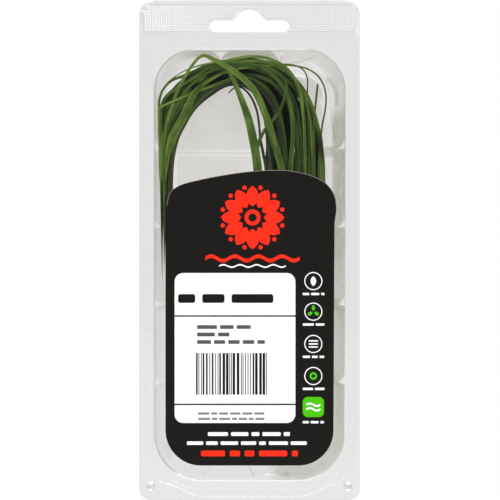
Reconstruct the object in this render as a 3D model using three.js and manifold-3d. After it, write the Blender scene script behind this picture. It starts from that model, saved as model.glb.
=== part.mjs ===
// A clear hinged hang pack with a folded bunch of cut garlic chives in it and a label on its lid.
// Millimetres, +Z up as the pack hangs, its front towards -Y. The origin is the crown of the hang
// slot, where a peg carries the pack, midway between the tray's sheet and the lid's sheet.

import * as THREE from 'three';
import { mergeVertices } from 'three/addons/utils/BufferGeometryUtils.js';
import Module from 'manifold-3d';

const wasm = await Module();
wasm.setup();

// The sheet that tray and lid are formed from, and the gap between the two when shut.
const SHEET = 0.5;
const SHEET_GAP = 0.3;

// The trimmed outline, and how far right of its centre the steps round the cavity sit.
const PACK_HALF_WIDTH = 44;
const PACK_TOP = 3.75;
const PACK_BOTTOM = -196.25;
const PACK_CORNER = 4.8;
const FORM_SHIFT = 0.6;

// The fold along the top edge, which the lid turns about.
const FOLD_RADIUS = 0.6;
const FOLD_HALF_LENGTH = 38.5;
const FOLD_Z = PACK_TOP - FOLD_RADIUS;
const LID_TOP = FOLD_Z - 0.9;

// The hang slot: a long hole with round ends and a hump whose crown rests on the peg.
const SLOT_HALF_LENGTH = 16;
const SLOT_TOP = -4.28;
const SLOT_BOTTOM = -9.4;
const HUMP_HALF_WIDTH = 6.7;
const HUMP_SHOULDER = new THREE.Vector2(3.2, -0.9);

// The two low steps that both sheets climb between the trimmed edge and the cavity.
const STEP_HEIGHT = 0.7;
const PLATFORM_TOP = -10.3;
const PLATFORM_BOTTOM = -195.2;
const PLATFORM_HALF_WIDTH = 42.6;
const PLATFORM_CORNER = 2;
// The platform's lower corner, cut away in a wave round the snap button, from side to bottom.
const PLATFORM_WAVE = [[42.6, -168], [42, -173], [40.5, -179], [36.9, -188.2], [35.6, -189.6],
  [33, -190.1], [29.5, -191.3], [25.4, -193.3], [20, PLATFORM_BOTTOM]];
const BORDER_TOP = -13.5;
const BORDER_BOTTOM = -191.9;
const BORDER_HALF_WIDTH = 39.9;
const BORDER_TOP_CORNER = 7.2;
const BORDER_BOTTOM_CORNER = 20;

// The cavity's mouth, and the depth of tray and lid.
const CAVITY_CENTRE_X = 0.1;
const CAVITY_TOP = -16.6;
const CAVITY_BOTTOM = -188;
const CAVITY_HALF_WIDTH = 37.8;
const CAVITY_TOP_CORNER = 16;
const CAVITY_BOTTOM_CORNER = 19;
const TRAY_DEPTH = 18;
const LID_DEPTH = 3.7;

// Cross ribs pressed into the tray's floor and side walls, and two short flutes in its end wall.
const RIB_HEIGHTS = [-55.6, -87, -118.4, -149.8];
const FLUTE_OFFSET = 11.8;

// The snap buttons in the lower corners: a stud on the tray in a hollow bump on the lid.
const BUTTON_X = 39.4;
const BUTTON_Z = -190.6;
const STUD_RADIUS = 1;
const STUD_REACH = 1.4;
const BUMP_RADIUS = 1.8;
const BUMP_REACH = 2.2;

const LABEL_THICKNESS = 0.25;
// The label's edge, from its left side over the bowed top to its right side.
const LABEL_TOP_EDGE = [[-33.3, -86], [-32.8, -78.5], [-31.2, -73.2], [-27.6, -70.6], [-20.6, -68.6],
  [-11.5, -66.8], [-1.5, -65.3], [9.7, -64.6], [17.6, -65.1], [25.6, -67.2], [30.9, -70.4],
  [33.7, -74.6], [34.4, -79], [33.7, -86]];
const LABEL_HALF_WIDTH = 33.3;
const LABEL_BOTTOM = -181.7;
const LABEL_BOTTOM_CORNER = 14;

// Every leaf is a flat blade. Each layer of leaves keeps to a depth of its own: the layers lie
// close together where the bunch is pinched at its cut ends, and spread open over the top.
const LEAF_THICKNESS = 0.62;
const LEAF_CLEARANCE = 0.3;
const LEAF_WIDTH = 2.1;
const CUT_END_WIDTH = 2.5;
const BACK_CUT_SPACING = 2.1;
const CUT_END_Z = -172;
const CUT_END_STAGGER = 0.2;
const LAYERS = [
  { pinchedY: 1.3, openY: -1.8 },
  { pinchedY: 2.65, openY: 1.5 },
  { pinchedY: 4, openY: 4.7 },
  { pinchedY: 5.35, openY: 7.9 },
  { pinchedY: 6.7, openY: 11.1 },
];
const LAYER_HALF_DEPTH = 1.45;
const LAYER_OFFSET = 0.2;
const PINCHED_Z = -172;
const OPEN_Z = -82;
const LEAVES_PER_BACK_LAYER = 7;
const BACK_LAYER_START_X = 3.4;
const FRONT_LAYER_START_X = 1.6;
const FRONT_CUT_SPACING = 1.85;

// How much the leaves of the back layers differ from each other.
const CROSSING = 0.25;
const TIP_CROSSING = 0.35;
const WANDER = 0.05;
const WIDTH_SPREAD = 0.3;
const TIP_DROP = 26;
const TIP_DROP_SPREAD = 20;
const TWIST = 1.8;
const TIP_TWIST = 0.9;
const CUT_SPREAD = 4;

// The bunch seen from the front: stations along its inner and its outer edge, from the leg on the
// right, over the top and down the left side.
const INNER_EDGE = [[4, -120], [5, -92], [7, -64], [7.6, -51.7], [6.2, -40.4], [3, -32.8],
  [-3.5, -28.6], [-9.5, -28.8], [-15.1, -32], [-22.6, -38.4], [-26.7, -45.2], [-29.2, -50.3],
  [-31, -57.8], [-31.7, -66]];
const OUTER_EDGE = [[26, -120], [28.6, -92], [30, -64], [28.7, -50.9], [26, -41], [20.4, -31.5],
  [13.6, -23.2], [2.3, -18.9], [-10.7, -20.5], [-20.3, -23.4], [-27.8, -28], [-34, -35.2],
  [-35.4, -47], [-35.5, -66]];

// The leaves of the front layer, placed by hand, with X, Z and width from the leg to the tip. Turns is
// how far each is turned about its own length, in radians, and lift is how far it stands back in the
// layer where the bunch is open. Both are given at the cut end, the middle and the tip.
const FRONT_LEAVES = [
  { turns: [0, 0.3, 0.2], lift: [-0.3, -0.5, 0.2], route: [
    [5, -139.9, 1.7], [2.9, -64.3, 1.6], [3, -57.1, 1.5], [4, -52.7, 1.4], [6, -48.7, 1.4],
    [10.8, -42.5, 1.3], [12.8, -38.9, 1.3], [14.2, -34.9, 1.3], [14.6, -31.3, 1.3], [13.6, -28.1, 1.3],
    [11, -25.5, 1.3], [6.2, -23.6, 1.2], [0.2, -22.8, 1.1], [-6.2, -23.3, 1.1], [-12.6, -25.1, 1],
    [-18.6, -28.1, 1], [-24.2, -32.7, 1], [-29, -39.1, 1], [-32.4, -46.7, 0.9], [-34, -56.3, 0.8]] },
  { turns: [0, -0.2, 0.3], lift: [-0.5, -0.5, -0.1], route: [
    [5.6, -139.9, 2.8], [4.2, -99.9, 3.4], [3.3, -64.3, 3.5], [1.5, -52.7, 3.4], [-0.4, -44.3, 2.9],
    [-4.8, -32.3, 1.8], [-6.8, -27.9, 1.5], [-8.2, -25.6, 1.2], [-10, -25.6, 1.1], [-14.6, -27.8, 1.4],
    [-18.2, -30.1, 1.7], [-20.6, -32.5, 2.2], [-22.8, -35.5, 2.8], [-26.4, -43.3, 3.2], [-31, -51.1, 2.6],
    [-32.3, -54.7, 1.8], [-33.2, -61.1, 1.2], [-33.4, -68.3, 0.72]] },
  { turns: [0, 0.2, 0], lift: [0.3, 0.4, 0.4], route: [
    [6.6, -139.9, 1.6], [6.7, -64.3, 1.4], [4.3, -51.5, 0.8], [3.8, -45.9, 0.7], [2.9, -40.7, 0.7],
    [1.4, -36.7, 0.7], [-0.6, -33.6, 0.7], [-3, -31.6, 0.7], [-5.8, -30.7, 0.7], [-9, -30.4, 0.7],
    [-12.2, -31.5, 0.9], [-16.2, -34.2, 1], [-20.2, -38.1, 1.1], [-23.8, -42.7, 1.1], [-26.8, -47.7, 1.1],
    [-29, -52.7, 1.1], [-30.3, -58.3, 1.1], [-31, -65.1, 1]] },
  { turns: [0, 0, 0.2], lift: [0.4, 0.5, 0.5], route: [
    [8.4, -139.9, 1.8], [8.2, -64.3, 1.5], [7.2, -51.5, 1.2], [6.2, -45.1, 1], [4.8, -39.5, 0.9],
    [3, -35.1, 0.72], [0.8, -31.8, 0.7], [-1.4, -30.1, 0.7], [-3.8, -30.3, 0.7], [-6.2, -31.7, 0.7],
    [-8.5, -34.1, 0.7]] },
  { turns: [0, 0.15, 0.3], lift: [-0.8, -0.9, 0.4], route: [
    [13.4, -139.9, 2.6], [14.2, -99.9, 2.8], [12.8, -64.3, 2.7], [9.2, -51.5, 2.8], [5.7, -40.9, 2.7],
    [3.4, -35.5, 2.6], [0.6, -31.2, 2.5], [-2.8, -27.8, 2.4], [-10.8, -22.2, 2.1], [-18.2, -18.8, 1.3],
    [-20.2, -19.7, 1.2], [-22.8, -22.7, 1.2], [-27.4, -30.1, 1.3], [-30.9, -38.9, 1.4],
    [-32.7, -44.3, 1.4], [-33.9, -50.7, 1.3], [-34.6, -59.5, 1]] },
  { turns: [0, -0.2, 0.2], lift: [0.3, 0.4, -1], route: [
    [14.8, -139.9, 2], [15, -99.9, 2], [14.6, -64.3, 2], [14, -55.5, 2], [12.8, -46.7, 1.8],
    [11, -39.1, 1.8], [8.2, -33.9, 1.6], [4.6, -30.3, 1.4], [0.2, -28.1, 1.4], [-4.2, -27.9, 1.3],
    [-7.8, -28.4, 1.2], [-11.4, -29.5, 1.1], [-28.2, -36.1, 1], [-36.5, -40.1, 0.9], [-36.7, -42.3, 0.72],
    [-36.4, -53.1, 0.7]] },
  { turns: [0, 0.2, -0.1], lift: [0, -0.1, 0.1], route: [
    [16.4, -139.9, 2], [16.4, -64.3, 2], [17.3, -49.9, 1.8], [17.1, -43.9, 1.8], [16.3, -38.7, 1.7],
    [14.9, -34.5, 1.6], [12.8, -30.6, 1.6], [10.2, -27.3, 1.5], [6.8, -24.7, 1.4], [2.6, -23.1, 1.3],
    [-2.6, -22.2, 1.2], [-14.2, -22.8, 1.2], [-18.6, -23.7, 1.2], [-30.6, -28.5, 1.1], [-33, -30.4, 1],
    [-34.8, -33.1, 0.8], [-35.8, -36.3, 0.8], [-36.1, -40.3, 1], [-35.6, -53.1, 1.4],
    [-35.6, -74.3, 0.8]] },
  { turns: [0, 0.3, -0.1], lift: [0.5, 0.5, -0.1], route: [
    [18.6, -139.9, 1.8], [19.2, -99.9, 1.9], [19, -56.3, 2], [18.3, -48.3, 1.9], [16.8, -41.1, 1.8],
    [14.4, -35.7, 1.7], [11.2, -31.5, 1.6], [7.2, -28.5, 1.5], [2.6, -26.8, 1.4], [-2, -26.7, 1.4],
    [-6.4, -28, 1.3], [-10.6, -30, 1.2], [-14.6, -32.4, 1.1], [-18.2, -35.2, 1], [-21.3, -38.6, 1],
    [-26.6, -46.3, 1], [-28.7, -50.2, 1], [-31.8, -57.7, 0.9], [-32.7, -61.9, 0.9],
    [-33.3, -68.3, 0.72]] },
  { turns: [0, -0.1, 0.1], lift: [-0.2, -0.3, -0.2], route: [
    [22, -139.9, 1.6], [22.2, -64.3, 1.4], [21.9, -49.1, 1.3], [21.3, -41.1, 1.3], [20.3, -34.5, 1.4],
    [18.8, -29.7, 1.4], [16.4, -25.9, 1.4], [13.2, -22.8, 1.4], [9.4, -20.7, 1.4], [5, -19.5, 1.3],
    [0.2, -19.2, 1.2], [-5, -20, 1.2], [-18.6, -22.5, 0.72], [-22.6, -23.6, 0.7], [-26.4, -25.2, 0.7],
    [-30.2, -27.6, 0.7], [-33.2, -30.4, 0.7], [-35.2, -33.3, 0.7], [-36.2, -36.7, 0.7],
    [-36.4, -46.3, 0.7]] },
  { turns: [0, 0, 0], lift: [0.4, 0.4, 0.2], route: [
    [23, -139.9, 1.6], [23.7, -99.9, 1.6], [23.8, -64.3, 1.5], [23.1, -27.9, 0.7], [22.1, -25.3, 0.7],
    [20.3, -23.6, 0.7], [17.8, -22.6, 0.7], [14.6, -22.2, 0.7], [5, -22.6, 0.7], [-1.4, -23.5, 0.7],
    [-7.8, -24.9, 0.7]] },
  { turns: [0, 0.3, 0.1], lift: [0.1, 0.1, 0], route: [
    [24.6, -139.9, 1.4], [25.2, -99.9, 1.4], [25.1, -56.3, 1.3], [24.5, -48.3, 1.2], [23.4, -41.1, 1.2],
    [21.8, -35.1, 1.2], [19.6, -30.3, 1.2], [16.6, -26.5, 1.2], [12.8, -23.5, 1.2], [8.2, -21.6, 1.2],
    [3, -20.9, 1.2], [-7.8, -21.6, 1.2], [-12.6, -22.6, 1.1], [-17, -24.2, 1], [-24.4, -29.1, 1.3],
    [-27.8, -30.8, 1.4], [-31, -33.1, 1.4], [-33.6, -35.7, 1.3], [-35, -38.7, 1.1], [-35.5, -43.1, 1.1],
    [-34.8, -59.5, 1.2], [-34.6, -69.1, 0.72]] },
  { turns: [0, 0.4, 0.6], lift: [0.2, 0.2, 0.2], route: [
    [24.8, -139.9, 1.6], [25.6, -99.9, 1.4], [25.6, -54.3, 1.1], [26.2, -39.5, 0.9], [27.2, -30, 0.8]] },
  { turns: [0, 0, 0], lift: [0.2, 0.2, 0.2], route: [
    [26.6, -139.9, 1.2], [27.6, -99.9, 1], [27.7, -64.3, 0.8], [28.5, -50.7, 0.7], [30.5, -37.1, 0.7],
    [30.3, -33.3, 0.7], [29.3, -30, 0.7], [27.6, -27.3, 0.7], [25.4, -25.4, 0.7], [22.8, -24, 0.7],
    [16.4, -22.7, 0.7], [12.2, -22.6, 0.7], [0.2, -24, 0.72]] },
  { turns: [0, -0.2, 0.3], lift: [0.2, 0.3, 0.3], route: [
    [28.4, -139.9, 1.8], [29.2, -64.3, 2], [28.1, -51.9, 1.6], [27, -46.3, 1.6], [25.4, -40.5, 1.5],
    [23.3, -35.5, 1.5], [20.8, -31.3, 1.4], [17.6, -27.6, 1.3], [13.8, -24.6, 1.3], [9, -22.7, 1.2],
    [3.4, -22, 1.2], [-2.6, -22.7, 1.2], [-8.2, -24.4, 1.2], [-13.8, -26.9, 1.3], [-18.6, -29.9, 1.4],
    [-23, -33.7, 1.4], [-26.8, -38.3, 1.5], [-30, -43.7, 1.5], [-32.2, -49.7, 1.4], [-33.3, -56.3, 1.3],
    [-33.7, -65.1, 0.8]] },
];

// The inner face of each basin, ring by ring from its mouth to its floor: how far inwards and how
// deep it lies, how far it leans from upright, how high the pressings stand there, and half the
// width of a pressing at its crest and at its foot.
const TRAY_RINGS = [
  { inward: 0, depth: -1.25, lean: 0, rib: 0, flute: 0, crestHalf: 0.4, footHalf: 3 },
  { inward: 0.1, depth: -0.6, lean: 0.15, rib: 0.15, flute: 0.1, crestHalf: 0.4, footHalf: 2.9 },
  { inward: 0.6, depth: 2, lean: 0.24, rib: 0.6, flute: 0.5, crestHalf: 0.45, footHalf: 2.6 },
  { inward: 3.2, depth: 12.8, lean: 0.3, rib: 1.2, flute: 1.1, crestHalf: 0.7, footHalf: 1.8 },
  { inward: 4.7, depth: 16.4, lean: 0.8, rib: 1.2, flute: 0.5, crestHalf: 0.8, footHalf: 1.6 },
  { inward: 7.6, depth: TRAY_DEPTH, lean: Math.PI / 2, rib: 1.2, flute: 0, crestHalf: 0.8, footHalf: 1.6 },
];
const LID_RINGS = [
  { inward: SHEET, depth: 0, lean: 0 },
  { inward: SHEET, depth: 2.05, lean: 0 },
  { inward: 0.9, depth: 3.2, lean: 0.4 },
  { inward: 1.8, depth: LID_DEPTH, lean: Math.PI / 2 },
];

const CLEAR_PLASTIC = { color: 0xdfe2da, roughness: 0.08, metalness: 0, transparent: true, opacity: 0.35 };
const LABEL_FINISH = { color: 0x1e1c1a, roughness: 0.45, metalness: 0 };
const LEAF_GREENS = [0x4f7f24, 0x3f6b1f, 0x37601d, 0x2f541b, 0x294a19];

// Facets of a quarter turn, of a snap button and of the fold's bead, and how far a cut runs past
// the sheets.
const ARC_STEPS = 6;
const BUTTON_FACETS = 20;
const FOLD_FACETS = 16;
const CUT_MARGIN = 3;

function mesh(name, geometry, finish) {
  const piece = new THREE.Mesh(geometry, new THREE.MeshStandardMaterial(finish));
  piece.name = name;
  return piece;
}

function toSolid(geometry) {
  geometry.deleteAttribute('normal');
  geometry.deleteAttribute('uv');
  const merged = mergeVertices(geometry, 1e-5);
  return new wasm.Manifold(new wasm.Mesh({
    numProp: 3,
    vertProperties: new Float32Array(merged.attributes.position.array),
    triVerts: new Uint32Array(merged.index.array),
  }));
}

function toGeometry(solid) {
  const { vertProperties, triVerts } = solid.getMesh();
  const geometry = new THREE.BufferGeometry();
  geometry.setAttribute('position', new THREE.BufferAttribute(vertProperties, 3));
  geometry.setIndex(new THREE.BufferAttribute(triVerts, 1));
  geometry.computeVertexNormals();
  return geometry;
}

// Points of a quarter turn about (x, z), from startAngle clockwise.
function quarterTurn(x, z, radius, startAngle) {
  const points = [];
  for (let i = 0; i <= ARC_STEPS; i += 1) {
    const angle = startAngle - (i / ARC_STEPS) * (Math.PI / 2);
    points.push(new THREE.Vector2(x + radius * Math.cos(angle), z + radius * Math.sin(angle)));
  }
  return points;
}

// A rectangle with round corners, clockwise from its upper left corner.
function roundedRect({ centre, halfWidth, top, bottom, topCorner, bottomCorner }) {
  const right = centre + halfWidth;
  const left = centre - halfWidth;
  return [
    ...quarterTurn(left + topCorner, top - topCorner, topCorner, Math.PI),
    ...quarterTurn(right - topCorner, top - topCorner, topCorner, Math.PI / 2),
    ...quarterTurn(right - bottomCorner, bottom + bottomCorner, bottomCorner, 0),
    ...quarterTurn(left + bottomCorner, bottom + bottomCorner, bottomCorner, -Math.PI / 2),
  ];
}

function packOutline(top) {
  return roundedRect({ centre: 0, halfWidth: PACK_HALF_WIDTH, top, bottom: PACK_BOTTOM,
    topCorner: PACK_CORNER, bottomCorner: PACK_CORNER });
}

function platformOutline() {
  const wave = PLATFORM_WAVE.map(([x, z]) => new THREE.Vector2(FORM_SHIFT + x, z));
  const mirroredWave = PLATFORM_WAVE.map(([x, z]) => new THREE.Vector2(FORM_SHIFT - x, z)).reverse();
  const left = FORM_SHIFT - PLATFORM_HALF_WIDTH + PLATFORM_CORNER;
  const right = FORM_SHIFT + PLATFORM_HALF_WIDTH - PLATFORM_CORNER;
  const z = PLATFORM_TOP - PLATFORM_CORNER;
  return [
    ...quarterTurn(left, z, PLATFORM_CORNER, Math.PI),
    ...quarterTurn(right, z, PLATFORM_CORNER, Math.PI / 2),
    ...wave,
    ...mirroredWave,
  ];
}

function borderOutline() {
  return roundedRect({ centre: FORM_SHIFT, halfWidth: BORDER_HALF_WIDTH, top: BORDER_TOP,
    bottom: BORDER_BOTTOM, topCorner: BORDER_TOP_CORNER, bottomCorner: BORDER_BOTTOM_CORNER });
}

function slotOutline() {
  const radius = (SLOT_TOP - SLOT_BOTTOM) / 2;
  const z = SLOT_TOP - radius;
  const endX = SLOT_HALF_LENGTH - radius;
  const hump = new THREE.QuadraticBezierCurve(
    new THREE.Vector2(-HUMP_SHOULDER.x, HUMP_SHOULDER.y),
    new THREE.Vector2(0, -HUMP_SHOULDER.y),
    HUMP_SHOULDER,
  ).getPoints(ARC_STEPS);
  return [
    ...quarterTurn(-endX, z, radius, Math.PI),
    new THREE.Vector2(-HUMP_HALF_WIDTH, SLOT_TOP),
    ...hump,
    new THREE.Vector2(HUMP_HALF_WIDTH, SLOT_TOP),
    ...quarterTurn(endX, z, radius, Math.PI / 2),
    ...quarterTurn(endX, z, radius, 0),
    ...quarterTurn(-endX, z, radius, -Math.PI / 2),
  ];
}

function labelOutline() {
  const cornerX = LABEL_HALF_WIDTH - LABEL_BOTTOM_CORNER;
  const cornerZ = LABEL_BOTTOM + LABEL_BOTTOM_CORNER;
  return [
    ...LABEL_TOP_EDGE.map(([x, z]) => new THREE.Vector2(x, z)),
    ...quarterTurn(cornerX, cornerZ, LABEL_BOTTOM_CORNER, 0),
    ...quarterTurn(-cornerX, cornerZ, LABEL_BOTTOM_CORNER, -Math.PI / 2),
  ];
}

// A clockwise outline moved inwards by distance, along the normals of its edges.
function inset(outline, distance) {
  const corners = outline.filter((p, i) => p.distanceTo(outline[(i + 1) % outline.length]) > 1e-6);
  return corners.map((p, i) => {
    const before = corners[(i + corners.length - 1) % corners.length];
    const after = corners[(i + 1) % corners.length];
    const inA = new THREE.Vector2(p.y - before.y, before.x - p.x).normalize();
    const inB = new THREE.Vector2(after.y - p.y, p.x - after.x).normalize();
    const mitre = inA.clone().add(inB).multiplyScalar(distance / (1 + inA.dot(inB)));
    return p.clone().add(mitre);
  });
}

// A flat plate of an outline in X and Z, between two depths.
function plate(outline, frontY, backY) {
  const geometry = new THREE.ExtrudeGeometry(new THREE.Shape(outline),
    { depth: backY - frontY, bevelEnabled: false });
  geometry.rotateX(Math.PI / 2);
  geometry.translate(0, backY, 0);
  return toSolid(geometry);
}

// A sheet with its front at frontY that climbs one step forward inside each outline in turn.
function steppedSheet(edge, steps, frontY) {
  const backY = frontY + SHEET;
  let sheet = plate(edge, frontY, backY);
  steps.forEach((outline, i) => {
    sheet = sheet.add(plate(outline, frontY - STEP_HEIGHT * (i + 1), backY));
  });
  steps.forEach((outline, i) => {
    const hollowFront = frontY - STEP_HEIGHT * (i + 1) + SHEET;
    sheet = sheet.subtract(plate(inset(outline, SHEET), hollowFront, backY + 1));
  });
  return sheet;
}

// Places round the right half of the cavity's mouth, from its top centre to its bottom centre.
// Each has a point, the inward direction there, and which pressing runs through it.
function halfMouth(withPressings) {
  const places = [];
  const straight = (corner) => CAVITY_HALF_WIDTH - corner;
  places.push({ x: 0, z: CAVITY_TOP, inX: 0, inZ: -1 });
  if (withPressings) {
    for (const [side, crest] of [[-1, 0], [-1, 1], [1, 1], [1, 0]]) {
      places.push({ x: FLUTE_OFFSET, z: CAVITY_TOP, inX: 0, inZ: -1, side, crest, kind: 'flute' });
    }
  }
  const addCorner = (corner, edgeZ, sign, startAngle) => {
    const cornerZ = edgeZ - sign * corner;
    quarterTurn(straight(corner), cornerZ, corner, startAngle).forEach((p) => {
      places.push({ x: p.x, z: p.y, inX: (straight(corner) - p.x) / corner, inZ: (cornerZ - p.y) / corner });
    });
  };
  addCorner(CAVITY_TOP_CORNER, CAVITY_TOP, 1, Math.PI / 2);
  if (withPressings) {
    for (const z of RIB_HEIGHTS) {
      for (const [side, crest] of [[1, 0], [1, 1], [-1, 1], [-1, 0]]) {
        places.push({ x: CAVITY_HALF_WIDTH, z, inX: -1, inZ: 0, side, crest, kind: 'rib' });
      }
    }
  }
  addCorner(CAVITY_BOTTOM_CORNER, CAVITY_BOTTOM, -1, 0);
  places.push({ x: 0, z: CAVITY_BOTTOM, inX: 0, inZ: 1 });
  return places;
}

// One place of the mouth carried down to a ring of a basin. The sheet's outer face is the inner
// face moved out by grow.
function basinPoint(place, ring, grow) {
  const pressed = place.crest ? ring[place.kind] : 0;
  const spread = place.side ? place.side * (place.crest ? ring.crestHalf : ring.footHalf) : 0;
  const move = pressed - grow;
  const inward = ring.inward + move * Math.cos(ring.lean);
  return {
    x: place.x + inward * place.inX + (place.kind === 'flute' ? spread : 0),
    y: ring.depth - move * Math.sin(ring.lean),
    z: place.z + inward * place.inZ + (place.kind === 'rib' ? spread : 0),
  };
}

// The places of a ring in rows of one height, each row from left to right.
function ringRows(ringPoints) {
  const rows = new Map();
  ringPoints.forEach((p, i) => {
    const height = p.z.toFixed(4);
    rows.set(height, [...(rows.get(height) ?? []), i]);
  });
  const topDown = [...rows.entries()].sort(([a], [b]) => Number(b) - Number(a));
  return topDown.map(([, row]) => row.sort((a, b) => ringPoints[a].x - ringPoints[b].x));
}

// Triangles over a flat outline, given by its corners in X and Z. They face back or forward.
function patch(corners, facesBack) {
  const contour = corners.map((p) => new THREE.Vector2(p.x, p.z));
  return THREE.ShapeUtils.triangulateShape(contour, []).map(([a, b, c]) => {
    const across = contour[b].clone().sub(contour[a]).cross(contour[c].clone().sub(contour[a]));
    return (across < 0) === facesBack ? [a, b, c] : [a, c, b];
  });
}

// The closed block of a basin with its mouth at mouthDepth. Its floor is laid in rows from side
// to side, so that each rib runs straight across. facing is 1 for a basin that goes back from its
// mouth and -1 for a dome that comes forward.
function basin({ rings, mouthDepth, grow, facing, withPressings }) {
  const half = halfMouth(withPressings);
  const levels = [{ ...rings[0], depth: mouthDepth }, ...rings.slice(1)].map((ring) => {
    const right = half.map((place) => basinPoint(place, ring, grow));
    const left = right.slice(1, -1).reverse().map((p) => ({ ...p, x: -p.x }));
    return [...right, ...left];
  });
  const size = levels[0].length;
  const triangles = patch(levels[0], false);
  for (let start = 0; start < size * (levels.length - 1); start += size) {
    for (let i = 0; i < size; i += 1) {
      const a = start + i;
      const b = start + ((i + 1) % size);
      triangles.push([a, b, b + size], [a, b + size, a + size]);
    }
  }
  const floor = levels.at(-1);
  const floorStart = size * (levels.length - 1);
  const rows = ringRows(floor);
  rows.slice(1).forEach((row, i) => {
    const around = [...rows[i], ...row.slice().reverse()];
    const faces = patch(around.map((place) => floor[place]), true);
    triangles.push(...faces.map((face) => face.map((corner) => floorStart + around[corner])));
  });
  const geometry = new THREE.BufferGeometry();
  const positions = levels.flat().flatMap((p) => [CAVITY_CENTRE_X + p.x, facing * p.y, p.z]);
  geometry.setAttribute('position', new THREE.Float32BufferAttribute(positions, 3));
  geometry.setIndex(triangles.flatMap(([a, b, c]) => (facing > 0 ? [a, b, c] : [a, c, b])));
  return toSolid(geometry);
}

function pin(radius, x, z, frontY, backY) {
  const geometry = new THREE.CylinderGeometry(radius, radius, backY - frontY, BUTTON_FACETS);
  geometry.translate(x, (frontY + backY) / 2, z);
  return toSolid(geometry);
}

const TRAY_FRONT = SHEET_GAP / 2;
const LID_FRONT = -SHEET_GAP / 2 - SHEET;
const slotCutter = () => plate(slotOutline(), -CUT_MARGIN, CUT_MARGIN);

function trayGeometry() {
  const nesting = SHEET + SHEET_GAP;
  const steps = [inset(platformOutline(), nesting), inset(borderOutline(), nesting)];
  const fold = new THREE.CylinderGeometry(FOLD_RADIUS, FOLD_RADIUS, 2 * FOLD_HALF_LENGTH, FOLD_FACETS);
  fold.rotateZ(Math.PI / 2);
  fold.translate(0, 0, FOLD_Z);
  const mouth = TRAY_FRONT - 2 * STEP_HEIGHT;
  let tray = steppedSheet(packOutline(FOLD_Z), steps, TRAY_FRONT).add(toSolid(fold));
  tray = tray.add(basin({ rings: TRAY_RINGS, mouthDepth: mouth + SHEET / 2, grow: SHEET, facing: 1,
    withPressings: true }));
  tray = tray.subtract(basin({ rings: TRAY_RINGS, mouthDepth: mouth - 1, grow: 0, facing: 1,
    withPressings: true }));
  for (const x of [-BUTTON_X, BUTTON_X]) {
    tray = tray.add(pin(STUD_RADIUS, x, BUTTON_Z, -STUD_REACH, TRAY_FRONT + SHEET / 2));
  }
  return toGeometry(tray.subtract(slotCutter()));
}

function lidGeometry() {
  const mouth = -(LID_FRONT - 2 * STEP_HEIGHT);
  let lid = steppedSheet(packOutline(LID_TOP), [platformOutline(), borderOutline()], LID_FRONT);
  lid = lid.add(basin({ rings: LID_RINGS, mouthDepth: mouth - SHEET / 2, grow: SHEET, facing: -1,
    withPressings: false }));
  lid = lid.subtract(basin({ rings: LID_RINGS, mouthDepth: -1, grow: 0, facing: -1,
    withPressings: false }));
  for (const x of [-BUTTON_X, BUTTON_X]) {
    lid = lid.add(pin(BUMP_RADIUS, x, BUTTON_Z, -BUMP_REACH, LID_FRONT + SHEET / 2));
    lid = lid.subtract(pin(BUMP_RADIUS - SHEET, x, BUTTON_Z, SHEET - BUMP_REACH, 1));
  }
  return toGeometry(lid.subtract(slotCutter()));
}

function labelGeometry() {
  const panelY = -LID_DEPTH - SHEET;
  return toGeometry(plate(labelOutline(), panelY - LABEL_THICKNESS, panelY));
}

// Repeatable draws between -1 and 1.
function draws(seed) {
  let state = seed;
  return () => {
    state = (Math.imul(state, 1664525) + 1013904223) >>> 0;
    return state / 2 ** 31 - 1;
  };
}

const mix = (a, b, share) => a + (b - a) * share;

// A value that leaves start, leans towards middle and arrives at end.
function throughThree([start, middle, end], share) {
  return mix(mix(start, middle, share), mix(middle, end, share), share);
}

// How far in from the cavity's mouth the wall and its ribs stand at a depth.
function wallInset(y) {
  if (y < TRAY_RINGS[0].depth) return 0.9;
  const next = TRAY_RINGS.findIndex((ring) => ring.depth > y);
  const [above, below] = [TRAY_RINGS[next - 1], TRAY_RINGS[next]];
  const share = (y - above.depth) / (below.depth - above.depth);
  return mix(above.inward + above.rib, below.inward + below.rib, share);
}

// A point of a leaf's middle line, moved off the wall of the cavity where it would touch it.
function keepInside(x, y, z, width) {
  const room = wallInset(y) + LEAF_CLEARANCE + width / 2;
  const cornerX = CAVITY_HALF_WIDTH - CAVITY_TOP_CORNER;
  const cornerZ = CAVITY_TOP - CAVITY_TOP_CORNER;
  const side = x < CAVITY_CENTRE_X ? -1 : 1;
  const outX = Math.abs(x - CAVITY_CENTRE_X) - cornerX;
  const outZ = z - cornerZ;
  const reach = CAVITY_TOP_CORNER - room;
  if (outX > 0 && outZ > 0) {
    const share = Math.min(1, reach / Math.hypot(outX, outZ));
    return new THREE.Vector3(CAVITY_CENTRE_X + side * (cornerX + outX * share), y,
      cornerZ + outZ * share);
  }
  return new THREE.Vector3(CAVITY_CENTRE_X + side * (cornerX + Math.min(outX, reach)), y,
    cornerZ + Math.min(outZ, reach));
}

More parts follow.
